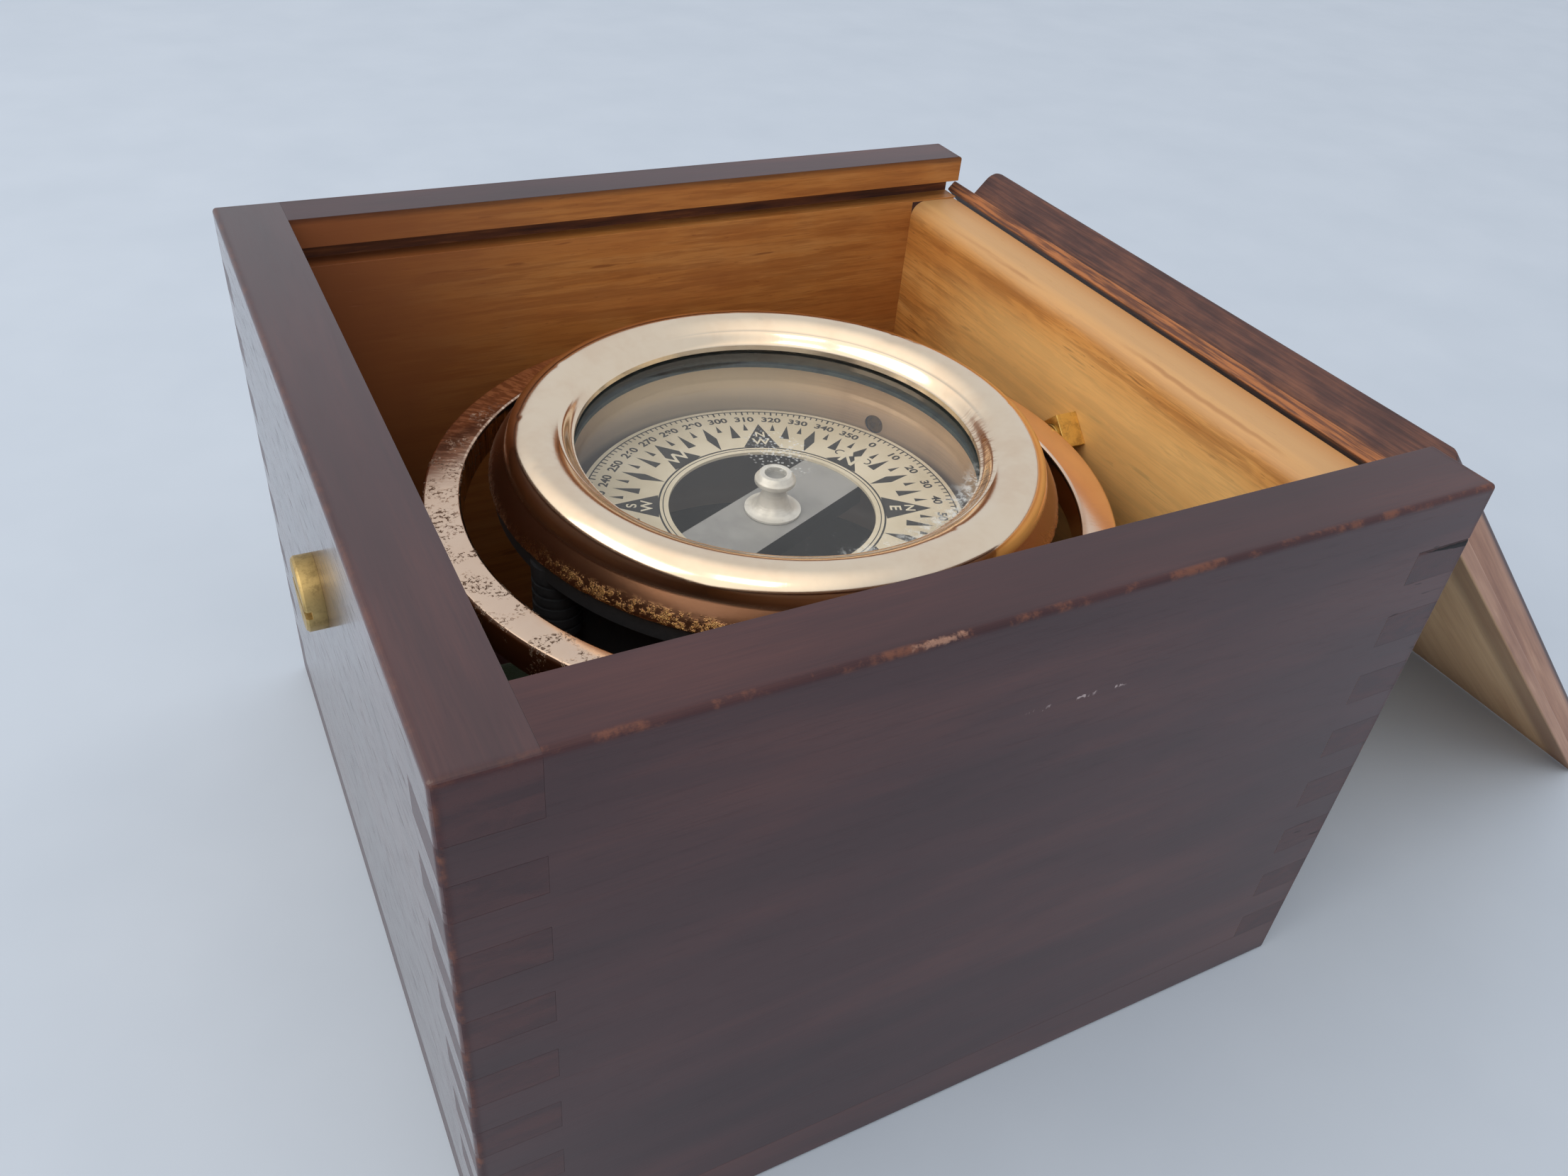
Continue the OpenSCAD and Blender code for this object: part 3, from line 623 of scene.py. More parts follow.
@dataclass(frozen=True)
class PolishedBronze(Finish):
    """Rose bronze, polished long ago: pitted, smudged and brown in its hollows, with painted glints and
    painted reflections on some edges and flanks.
    """

    base: Colour = srgb(255, 234, 206)
    roughness: float = 0.08
    pits: float = 1.0
    ripple: float = 0.035
    slope: tuple[float, float] | None = None
    flange: float | None = None
    chamfer: float | None = None

    def surface(self, s: Shader, place: Sock) -> Sock:
        """Builds the surface."""
        x, y, z, radius = s.polar(place)
        smudge = s.noise(place, 0.11, 4, 0.6)
        left = ((-x - y * 0.5) / radius).rise(0.2, 0.8)
        pit = s.noise(place, 1.4, 4, 0.75).rise(0.54, 0.62) * s.noise(place, 0.18, 2).rise(0.46, 0.6) * left
        pit = pit * min(1.0, self.pits)
        mark = s.noise(s.round_axis(place, 44.0, 0.22), 1.5, 3, 0.6)
        colour = s.mix(smudge.rise(0.35, 0.75) * 0.3, self.base, srgb(232, 194, 160))
        rough = self.roughness + smudge * 0.1
        height = mark * self.ripple * 2 - pit * self.pits
        if self.slope:
            low, high = self.slope
            right, left_side = (x - y) / radius * 0.71, -x / radius
            facing = right.rise(0.74, 0.92).most(left_side.rise(0.93, 0.99) * 0.5)
            turned = radius.rise(high, low) * facing
            height = height + turned * mark * 0.55
            patina = turned * (mark * 0.8 + smudge * 0.2).rise(0.47, 0.6)
            colour = s.mix(patina * 0.6, colour, srgb(150, 88, 54))
            rough = rough + patina * 0.12
        if self.flange:
            rim = radius.rise(self.flange - 1.3, self.flange - 0.2)
            flank = radius.rise(self.flange - 3.4, self.flange - 2.8)
            cast = s.noise(place, 0.7, 4, 0.75)
            fine = s.noise(place, 3.6, 3, 0.8)
            # Rough crust on the filed edge, partly real wear and partly painted glint: its gold speckle is
            # massed on the near-left side, where the light catches it.
            near = ((0.0 - x * 0.75 - y * 0.66) / radius).rise(0.8, 0.97)
            crust = radius.rise(self.flange - 1.7, self.flange - 0.7) * near
            crust = crust.most(rim * 0.4) * cast.rise(0.46, 0.6)
            # Brown on the flank below the crown: partly tarnish, partly painted reflection of the wooden
            # walls.
            colour = s.mix(flank * 0.9, colour, srgb(122, 70, 36))
            crust_glint_colour = s.mix(fine.rise(0.42, 0.58), srgb(168, 104, 50), srgb(255, 210, 130))
            colour = s.mix(crust * 0.6, colour, crust_glint_colour)
            rough = rough + flank * 0.16 - crust * 0.08
            height = height + crust * fine * 1.6 + flank * cast * 0.15
        if self.chamfer:
            # Painted glint: orange on the inner edge's near side, where the light catches it.
            lip_glint = radius.rise(self.chamfer + 1.5, self.chamfer + 0.5) * (-y / radius).rise(0.2, 0.8)
            colour = s.mix(lip_glint * (mark * 0.6 + 0.3), colour, srgb(186, 116, 48))
            # Painted reflection: brown streaks on the far-left side.
            dim_reflection = ((y * 0.7 - x * 0.72) / radius).rise(0.88, 0.98) * mark.rise(0.4, 0.56)
            colour = s.mix(dim_reflection * 0.55, colour, srgb(120, 68, 42))
        colour = s.mix((pit * 0.6 * self.pits).least(0.85), colour, srgb(84, 50, 34))
        normal = s.bump(height, 0.09, 0.8)
        return s.principled(Base_Color=colour, Metallic=1.0, Roughness=rough + pit * 0.3, Normal=normal)


@dataclass(frozen=True)
class AgedMetal(Finish):
    """Turned or cast metal with a dull film in places."""

    base: Colour
    film: Colour
    roughness: float = 0.3
    grain_mm: float = 0.5
    depth: float = 0.03

    def surface(self, s: Shader, place: Sock) -> Sock:
        """Builds the surface."""
        cloud = s.noise(place, 0.45, 4, 0.6)
        fine = s.noise(place, 1.5 / self.grain_mm, 3, 0.7)
        colour = s.mix((cloud * 0.7 + fine * 0.3).rise(0.42, 0.68), self.base, self.film)
        rough = self.roughness + cloud * 0.2 + fine * 0.08
        normal = s.bump(fine, self.depth, 0.8)
        return s.principled(Base_Color=colour, Metallic=1.0, Roughness=rough, Normal=normal)


@dataclass(frozen=True)
class TurnedAluminium(Finish):
    """Bright lathe-turned aluminium, with rings round the axis and a pit in its head darkened with painted
    shade.
    """

    pit_r: float
    pit_z: float

    def surface(self, s: Shader, place: Sock) -> Sock:
        """Builds the surface."""
        _, _, z, radius = s.polar(place)
        turned = s.noise(s.vector(radius, z, 0.0), 3.0, 3, 0.7)
        dull = s.noise(place, 0.4, 3, 0.6)
        colour = s.mix(dull.rise(0.4, 0.7), srgb(250, 250, 246), srgb(226, 226, 222))
        colour = s.mix(turned.rise(0.35, 0.6) * 0.12, colour, srgb(160, 160, 158))
        # Painted shade: the pit in the head is darkened.
        pit = radius.rise(self.pit_r + 0.1, self.pit_r - 0.1) * z.rise(self.pit_z - 0.1, self.pit_z - 0.4)
        colour = s.mix(pit * 0.7, colour, srgb(88, 90, 92))
        normal = s.bump(turned, 0.07, 0.9)
        rough = 0.26 + dull * 0.12
        return s.principled(Base_Color=colour, Metallic=0.3, Roughness=rough, Normal=normal)


@dataclass(frozen=True)
class BowlFinish(Finish):
    """Black paint over the casting, and bare bronze on the inner wall above the painted floor; painted light
    on the wall's far side, painted shade on its left and below the card.
    """

    in_r: float
    floor_z: float
    card_z: float

    def surface(self, s: Shader, place: Sock) -> Sock:
        """Builds the surface."""
        x, y, z, radius = s.polar(place)
        inside = (radius < self.in_r + 0.3) * (z > self.floor_z + 0.3)
        cast = s.noise(place, 1.2, 4, 0.7)
        chip = s.noise(place, 0.5, 4, 0.75).rise(0.66, 0.72)
        paint = s.mix(cast, srgb(40, 42, 46), srgb(66, 68, 72))
        paint = s.mix(chip * 0.5, paint, srgb(120, 92, 66))
        film = s.noise(s.round_axis(place, 12.0, 1.0), 0.3, 3, 0.6)
        brushed = s.noise(s.scaled(place, (0.06, 0.06, 3.0)), 1.4, 3, 0.6)
        bare = s.mix(film.rise(0.35, 0.7), srgb(236, 204, 170), srgb(222, 190, 158))
        bare = s.mix(brushed.rise(0.4, 0.7) * 0.16, bare, srgb(160, 126, 100))
        # Painted light: the far side of the inner wall is paler and warmer.
        bare = s.mix((y / radius).rise(0.6, 1.0) * 0.7, bare, srgb(255, 240, 212))
        # Painted shade: the left side of the inner wall is greyer and darker.
        bare = s.mix((-x / radius).rise(0.3, 0.9) * 0.6, bare, srgb(168, 160, 160))
        # Painted shade: the wall below the card is near black and less metallic.
        low = z.rise(self.card_z - 0.5, self.card_z - 3.0)
        bare = s.mix(low * 0.85, bare, srgb(84, 74, 80))
        colour = s.mix(inside, paint, bare)
        rough = inside * (0.4 + film * 0.08) + (1 - inside) * (0.24 + cast * 0.2)
        normal = s.bump(cast * (1 - inside * 0.9), 0.06, 0.6)
        metal = inside * 0.35 * (1 - low)
        return s.principled(Base_Color=colour, Metallic=metal, Roughness=rough, Normal=normal)


@dataclass(frozen=True)
class WornPaint(Finish):
    """Satin paint or print with specks of dirt; also rubber, leather and paper, by its numbers."""

    base: Colour
    second: Colour
    roughness: float = 0.5
    patch: float = 0.15
    speck: float = 0.3
    depth: float = 0.02

    def surface(self, s: Shader, place: Sock) -> Sock:
        """Builds the surface."""
        cloud = s.noise(place, self.patch, 4, 0.6)
        fine = s.noise(place, 3.0, 3, 0.7)
        speck = s.cells(place, 0.9).rise(0.12, 0.05) * cloud.rise(0.45, 0.55)
        colour = s.mix(cloud.rise(0.35, 0.7), self.base, self.second)
        colour = s.mix(speck * self.speck, colour, srgb(60, 50, 40))
        normal = s.bump(fine, self.depth, 0.7)
        return s.principled(Base_Color=colour, Roughness=self.roughness + fine * 0.12, Normal=normal)


@dataclass(frozen=True)
class CompassGlass(Finish):
    """Clear plate glass with dust, a white crust near the bezel and a film of droplets on one side."""

    radius: float

    def surface(self, s: Shader, place: Sock) -> Sock:
        """Builds the surface."""
        x, y, z, radius = s.polar(place)
        dust = s.cells(place, 0.8).rise(0.1, 0.04) * s.noise(place, 0.2, 3).rise(0.5, 0.62)
        rim = radius.rise(self.radius - 12.0, self.radius - 5.0)
        right = (x * 0.34 - y * 0.94).rise(25.0, 33.0)
        crust = s.noise(place, 0.45, 5, 0.8).rise(0.46, 0.6) * rim * right
        drops = s.cells(place, 1.2).rise(0.36, 0.28) * self.droplet_patch(s, x, y)
        haze = s.noise(place, 0.05, 2) * 0.03
        veil = (dust * 0.3).most(crust * 0.75).most(drops * 0.5).most(haze)
        clear = s.node("ShaderNodeBsdfTransparent", inputs={"Color": srgb(254, 253, 251)})
        gloss = s.principled(
            Base_Color=srgb(226, 230, 230), Roughness=0.04, Specular_IOR_Level=0.5
        )
        mirror = s.node("ShaderNodeBsdfGlossy", inputs={"Color": (1.0, 1.0, 1.0), "Roughness": 0.03})
        facing = s.node("ShaderNodeLayerWeight", inputs={"Blend": 0.5}, out="Facing")
        shine = facing**5.0 * 0.9 + 0.025
        plate = s.node("ShaderNodeMixShader", inputs={0: shine, 1: clear, 2: mirror})
        return s.node("ShaderNodeMixShader", inputs={0: veil, 1: plate, 2: gloss})

    @staticmethod
    def droplet_patch(s: Shader, x: Sock, y: Sock) -> Sock:
        """Where the film of droplets lies: a long patch over the middle of the glass."""
        along, aside = x * 0.49 - y * 0.87, x * 0.87 + y * 0.49
        away = (along * along * 0.5 + aside * aside * 1.6) ** 0.5
        return away.rise(6.0, 3.0)


@dataclass(frozen=True)
class FeltFinish(Finish):
    """Green felt, matted and a little dusty."""


    def surface(self, s: Shader, place: Sock) -> Sock:
        """Builds the surface."""
        nap = s.noise(place, 2.4, 4, 0.75, 1.0)
        cloud = s.noise(place, 0.1, 3)
        colour = s.mix(nap * 0.6 + cloud * 0.4, srgb(34, 58, 40), srgb(74, 104, 74))
        normal = s.bump(nap, 0.3, 0.9)
        return s.principled(Base_Color=colour, Roughness=0.95, Normal=normal, Sheen_Weight=0.4)


@dataclass(frozen=True)
class PaleCloth(Finish):
    """The pale cloth of the studio's floor."""

    def surface(self, s: Shader, place: Sock) -> Sock:
        """Builds the surface."""
        colour = s.mix(s.noise(place, 0.02, 3), srgb(190, 202, 217), srgb(202, 213, 227))
        return s.principled(Base_Color=colour, Roughness=0.9)


BRASS = AgedMetal("aged_brass", srgb(242, 210, 126), srgb(194, 160, 92), 0.32)
DULL_BRASS = AgedMetal("dull_brass", srgb(176, 138, 76), srgb(104, 80, 52), 0.38)
STEEL = AgedMetal("hard_steel", srgb(188, 190, 194), srgb(128, 130, 134), 0.22)
LEAD = AgedMetal("dull_lead", srgb(128, 130, 136), srgb(78, 80, 84), 0.55, 0.9, 0.1)
SPRING_BRONZE = AgedMetal("spring_bronze", srgb(204, 156, 104), srgb(140, 100, 66), 0.32)
BLACK_RUBBER = WornPaint("black_rubber", srgb(22, 22, 23), srgb(40, 40, 42), 0.6)
SCREW_BRASS = AgedMetal("pivot_brass", srgb(198, 172, 116), srgb(152, 130, 86), 0.34)
TEAL_RUBBER = WornPaint("teal_rubber", srgb(66, 82, 84), srgb(42, 54, 58), 0.6, 0.35)
LEATHER = WornPaint("washer_leather", srgb(66, 50, 38), srgb(40, 30, 24), 0.8)
CARD_PAPER = WornPaint("card_paper", srgb(234, 226, 206), srgb(218, 208, 184), 0.6, 0.08, 0.3)
BAR_PAINT = WornPaint("bar_grey", srgb(166, 168, 170), srgb(148, 150, 152), 0.34, 0.12, 0.5)
MAGNET_PAINT = WornPaint("magnet_black", srgb(38, 38, 42), srgb(24, 24, 27), 0.4)
BLACK_INK = WornPaint("black_ink", srgb(30, 30, 32), srgb(44, 43, 44), 0.55, 0.3, 0.0)
WHITE_INK = WornPaint("white_ink", srgb(238, 232, 214), srgb(226, 219, 198), 0.6, 0.2, 0.0)
RUBY = WornPaint("ruby_jewel", srgb(150, 30, 44), srgb(120, 20, 34), 0.08, 0.3, 0.0, 0.004)


def placed(name: str, data: bpy.types.ID) -> Object:
    """A new object of the scene."""
    obj = bpy.data.objects.new(name, data)
    bpy.context.scene.collection.objects.link(obj)
    return obj


def make_piece(
    name: str, mesh: Mesh, body: Body, finish: Finish | Sequence[Finish], slot: str,
    node: str | None = None,
) -> Object:
    """Puts a mesh in the scene as a piece of the compass.

    Args:
        name: the piece's name.
        mesh: its mesh, in place.
        body: the body that it rides on.
        finish: its finish, or several in the order of the mesh's slots.
        slot: the record's material slot; not used.
        node: the node of the frame that it stands for, if there is one.

    Returns:
        The new object.
    """
    obj = placed(name, mesh)
    dress(obj, finish)
    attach(obj, body.value)
    if node:
        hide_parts(node)
    LOG.info("%s: %d faces, rides on %s", name, len(mesh.polygons), body.value)
    return obj


def soft_piece(
    node: str, name: str, width: float, body: Body, finish: Finish | Sequence[Finish],
    slot: str = "brass", segments: int = 2,
) -> Object:
    """Puts a copy of a node with its edges rounded in the node's place; see softened and make_piece."""
    return make_piece(name, softened(node, width, segments), body, finish, slot, node)


def dress(obj: Object, finish: Finish | Sequence[Finish]) -> None:
    """Gives an object the material of its finish, or of several in their order."""
    obj.data.materials.clear()
    for look in [finish] if isinstance(finish, Finish) else finish:
        obj.data.materials.append(look.material())


def dress_nodes(finishes: dict[str, Finish]) -> None:
    """Keeps nodes of the frame as they are and gives each its material."""
    for node, finish in finishes.items():
        obj = frame["nodes"][node]
        dress(obj, finish)
        smooth_over(obj.data)


def smooth_over(mesh: Mesh, angle: float = 35.0) -> None:
    """Shades a mesh smooth, but sharp where its faces turn by more than an angle in degrees."""
    mesh.polygons.foreach_set("use_smooth", [True] * len(mesh.polygons))
    mesh.set_sharp_from_angle(angle=math.radians(angle))


def mesh_from(bm: BMesh, name: str) -> Mesh:
    """Turns a bmesh into a mesh with its faces facing outwards, and frees it."""
    bmesh.ops.recalc_face_normals(bm, faces=bm.faces)
    mesh = bpy.data.meshes.new(name)
    bm.to_mesh(mesh)
    bm.free()
    return mesh


def turn_outline(
    bm: BMesh, outline: Sequence[Point], turns: int, shape: Callable | None = None
) -> None:
    """Adds a closed outline turned round the Z axis.

    Args:
        bm: the mesh to add to.
        outline: radius and height of each point in millimetres, in order round the section.
        turns: steps round the axis.
        shape: moves one point, given its angle, radius and height, to a new radius and height.
    """
    rings = []
    for step in range(turns):
        angle = 2 * math.pi * step / turns
        c, s = math.cos(angle), math.sin(angle)
        row = [shape(angle, *point) if shape else point for point in outline]
        rings.append([bm.verts.new((radius * c * MM, radius * s * MM, z * MM)) for radius, z in row])
    for row, after in zip(rings, rings[1:] + rings[:1]):
        for i, j in zip(range(len(row)), [*range(1, len(row)), 0]):
            bm.faces.new((row[i], after[i], after[j], row[j]))


def lathe(name: str, outline: Sequence[Point], turns: int, shape: Callable | None = None) -> Mesh:
    """A smooth mesh turned from an outline; see turn_outline. Points on the axis become one."""
    bm = bmesh.new()
    turn_outline(bm, outline, turns, shape)
    bmesh.ops.remove_doubles(bm, verts=bm.verts, dist=1e-7)
    mesh = mesh_from(bm, name)
    smooth_over(mesh)
    return mesh


def arc(centre: Point, radius: float, start: float, end: float, steps: int) -> list[Point]:
    """Points of an arc, from one angle in degrees to another."""
    angles = [math.radians(start + (end - start) * i / steps) for i in range(steps + 1)]
    return [(centre[0] + radius * math.cos(a), centre[1] + radius * math.sin(a)) for a in angles]


def softened(node: str, width: float, segments: int = 3, angle: float = 40.0) -> Mesh:
    """A copy of a node's mesh with its sharp edges rounded.

    Args:
        node: the node of the frame.
        width: width of the rounding in millimetres.
        segments: faces across the rounding.
        angle: edges sharper than this, in degrees, are rounded.

    Returns:
        The new mesh.
    """
    bm = bmesh.new()
    bm.from_mesh(frame["nodes"][node].data)
    bmesh.ops.remove_doubles(bm, verts=bm.verts, dist=1e-6)
    bmesh.ops.dissolve_limit(bm, angle_limit=math.radians(0.5), verts=bm.verts, edges=bm.edges)
    carrier = placed("carrier", mesh_from(bm, node + "_soft"))
    bevel = carrier.modifiers.new("round", "BEVEL")
    bevel.width = width * MM
    bevel.segments = segments
    bevel.limit_method = "ANGLE"
    bevel.angle_limit = math.radians(angle)
    bevel.use_clamp_overlap = True
    return baked(carrier)


def evaluated(carrier: Object) -> Mesh:
    """The mesh of an object with its modifiers applied; the object is taken away."""
    bpy.context.view_layer.update()
    graph = bpy.context.evaluated_depsgraph_get()
    mesh = bpy.data.meshes.new_from_object(carrier.evaluated_get(graph))
    bpy.data.objects.remove(carrier)
    return mesh


def baked(carrier: Object) -> Mesh:
    """As evaluated, and shaded smooth where no modifier has set the normals."""
    mesh = evaluated(carrier)
    if not mesh.has_custom_normals:
        smooth_over(mesh)
    return mesh


def weighted(mesh: Mesh) -> Mesh:
    """The mesh with normals that follow its large faces, so that narrow roundings don't shade them."""
    carrier = placed("carrier", mesh)
    normals = carrier.modifiers.new("normals", "WEIGHTED_NORMAL")
    normals.mode = "FACE_AREA"
    normals.weight = 100
    normals.keep_sharp = True
    return baked(carrier)


def rounded_block(low: Vector, high: Vector, radius: float, name: str) -> Mesh:
    """A block with all its edges rounded, between two corners in millimetres."""
    bm = bmesh.new()
    bmesh.ops.create_cube(bm, size=1.0)
    middle, span = (low + high) / 2 * MM, (high - low) * MM
    for vert in bm.verts:
        vert.co = Vector(a * b + c for a, b, c in zip(vert.co, span, middle))
    bmesh.ops.bevel(
        bm, geom=bm.edges, offset=radius * MM, segments=5, profile=0.5, affect="EDGES", clamp_overlap=True
    )
    return mesh_from(bm, name)


def combined(first: Mesh, second: Mesh, operation: str) -> Mesh:
    """The Boolean result of two meshes."""
    one, two = placed("one", first), placed("two", second)
    cut = one.modifiers.new("cut", "BOOLEAN")
    cut.operation = operation
    cut.object = two
    cut.solver = "EXACT"
    mesh = baked(one)
    bpy.data.objects.remove(two)
    return mesh


@dataclass
class WoodenBox:
    """The finger-jointed box: four boards, a base and the felt, with the pivots' hardware."""

    corner_r: float = 0.8
    seam: float = 0.05
    case: Case = CASE

    def build(self) -> None:
        """Makes every piece of the box."""
        along, across = Grain.ALONG_BOX, Grain.ACROSS_BOX
        near = {"red": 0.12, "worn": 0.7, "scarred": True}
        left = {"red": 0.15, "gloss": 1.0, "open_pores": 0.8}
        # The near and left walls' pine is dark brown with painted shade.
        self.board("front_wall", along, 0.0, near, {"soaked": 0.85})
        # The back wall's pine carries painted shade: darker towards its left end and a deeper amber overall.
        self.board("back_wall", along, 61.0, {}, {"dark": 1.0, "deep": 0.45})
        self.board("left_wall", across, 23.0, left, {"soaked": 0.9})
        self.board("right_wall", across, 47.0, {}, {"sanded": 0.9}, "sill_wood")
        self.board("base_panel", along, 89.0, {}, {}, "base_wood")
        self.felt()
        soft_piece("outer_pivot_screws", "pivot_screws", 0.2, Body.BOX, SCREW_BRASS, segments=3)
        soft_piece("outer_pivot_nuts", "pivot_nuts", 0.25, Body.BOX, BRASS, segments=3)

    def board(
        self, node: str, grain: Grain, shift: float, outside: dict, inside: dict, slot: str = "wall_wood"
    ) -> None:
        """One board with rounded outer edges and tight seams.

        Args:
            node: the node of the frame.
            grain: direction of its fibres.
            shift: start of its noise, so that no two boards match.
            outside: settings of its stain.
            inside: settings of its pine.
            slot: the record's material slot.
        """
        case, stem = self.case, node.split("_")[0]
        top = case.sill_z if node == "right_wall" else case.top_z
        low = Vector((-case.end_x, -case.edge_y, 0.0))
        block = rounded_block(low, Vector((case.end_x, case.edge_y, top)), self.corner_r, node + "_block")
        mesh = weighted(combined(softened(node, self.seam, 2), block, "INTERSECT"))
        mesh.name = node + "_worn"
        finishes = [
            DarkStain(f"{stem}_stain", grain, shift, **outside),
            GoldenPine(f"{stem}_pine", grain, shift, **inside),
            StainedEndGrain(f"{stem}_end_grain", grain, shift),
            GrooveStain(f"{stem}_groove", grain, shift),
        ]
        piece = make_piece(node + "_board", mesh, Body.BOX, finishes, slot, node)
        for face in piece.data.polygons:
            face.material_index = self.kind_of(face, grain, node).value

    def kind_of(self, face: MeshPolygon, grain: Grain, node: str) -> Face:
        """The kind of one face of a board, by its place and direction."""
        case = self.case
        x, y, z = face.center / MM
        normal = face.normal
        level, upright = abs(normal.z) > 0.5, normal.z > 0.5
        within = (
            abs(x) < case.wall_x + 0.2 and case.front_y - 0.2 < y < case.back_y + 0.2
            and case.base_t < z < case.top_z - self.seam * 1.5
        )
        if within and (node != "base_panel" or upright):
            return Face.PINE
        groove_z = case.sill_z + 0.1 < z < case.top_z - 5.0
        deep_x = abs(x) < case.end_x - 4
        # The grooves' faces take the darker brown of painted shade, but the back wall's upward ledges stay
        # pine.
        if node != "right_wall" and groove_z and deep_x and (level or abs(y) < case.edge_y - 4):
            return Face.PINE if upright and node == "back_wall" else Face.GROOVE
        between = case.front_y - 0.3 < y < case.back_y + 0.3
        if node == "right_wall" and between and z > case.sill_z - 4.0 and normal.z > 0.25:
            return Face.PINE
        along = normal.y if grain is Grain.ACROSS_BOX else normal.x
        return Face.END_GRAIN if abs(along) > 0.8 else Face.STAINED

    def felt(self) -> None:
        """The felt pad, its edges soft and its nap uneven."""
        rim_drop, rim_width, steps = 0.5, 1.2, 100
        low, high = node_box("felt_pad")
        side, centre = high.x - low.x, (low + high) / 2
        bm = bmesh.new()
        bmesh.ops.create_grid(bm, x_segments=steps, y_segments=steps, size=side / 2 * MM)
        for vert in bm.verts:
            x, y = vert.co.x / MM, vert.co.y / MM
            inset = side / 2 - max(abs(x), abs(y))
            sag = rim_drop * max(0.0, 1 - inset / rim_width) ** 2
            nap = 0.22 * noise.noise(Vector((x, y, 3.0)) * 0.5) - 0.14
            vert.co = Vector((centre.x + x, centre.y + y, high.z - sag + min(nap, 0.0))) * MM
        made = bmesh.ops.extrude_face_region(bm, geom=list(bm.faces))
        for item in made["geom"]:
            if isinstance(item, BMVert):
                item.co.z = low.z * MM
        mesh = mesh_from(bm, "felt_mesh")
        smooth_over(mesh, 60)
        pad = make_piece("felt", mesh, Body.BOX, FeltFinish("green_felt"), "felt", "felt_pad")


@dataclass
class SlidingLid:
    """The lid, taken out and leant on the open end."""

    edge: float = 0.35

    def build(self) -> None:
        """Makes the lid."""
        mesh = weighted(softened("lid", self.edge, angle=30))
        finish = LidStain("lid_stain", Grain.ALONG_LID, 13.0)
        make_piece("lid_board", mesh, Body.LID, finish, "lid_wood", "lid")


@dataclass
class GimbalRing:
    """The bronze ring between the box and the bowl, with the bowl's two pivot screws."""

    edge: float = 0.7
    section: float = 6.6
    outer_pivot_r: float = 1.85
    inner_pivot_r: float = 2.55
    turns: int = 288

    def build(self) -> None:
        """Makes the ring and its two screws."""
        low, high = node_box("gimbal_ring")
        outer, inner, middle = high.x, high.x - self.section, (low.z + high.z) / 2
        e = self.edge
        right, left, foot, head = outer - e, inner + e, low.z + e, high.z - e
        corners = ((right, foot), (right, head), (left, head), (left, foot))
        outline = [p for i, corner in enumerate(corners) for p in arc(corner, e, 90 * i - 90, 90 * i, 6)]
        ring = lathe("ring_mesh", outline, self.turns)
        for angle in (0, 180, 90, 270):
            radius = self.inner_pivot_r if angle % 180 else self.outer_pivot_r
            ring = combined(ring, self.drill(angle, radius, inner, outer, middle), "DIFFERENCE")
        finish = PolishedBronze("ring_bronze", srgb(246, 216, 190), 0.11, 1.3, 0.07, chamfer=inner)
        make_piece("gimbal", ring, Body.GIMBAL, finish, "bronze", "gimbal_ring")
        soft_piece("inner_pivot_screws", "bowl_pivots", 0.15, Body.GIMBAL, BRASS, segments=3)

    @staticmethod
    def drill(angle: float, radius: float, inner: float, outer: float, height: float) -> Mesh:
        """A pin that cuts a pivot's hole through the ring."""
        bm = bmesh.new()
        place = Matrix.Translation(Vector(((inner + outer) / 2, 0, height)) * MM)
        turn = Matrix.Rotation(math.radians(angle), 4, "Z") @ place @ Matrix.Rotation(math.pi / 2, 4, "Y")
        sizes = {"radius1": radius * MM, "radius2": radius * MM, "depth": (outer - inner + 4) * MM}
        bmesh.ops.create_cone(bm, cap_ends=True, segments=40, matrix=turn, **sizes)
        return mesh_from(bm, "pin")


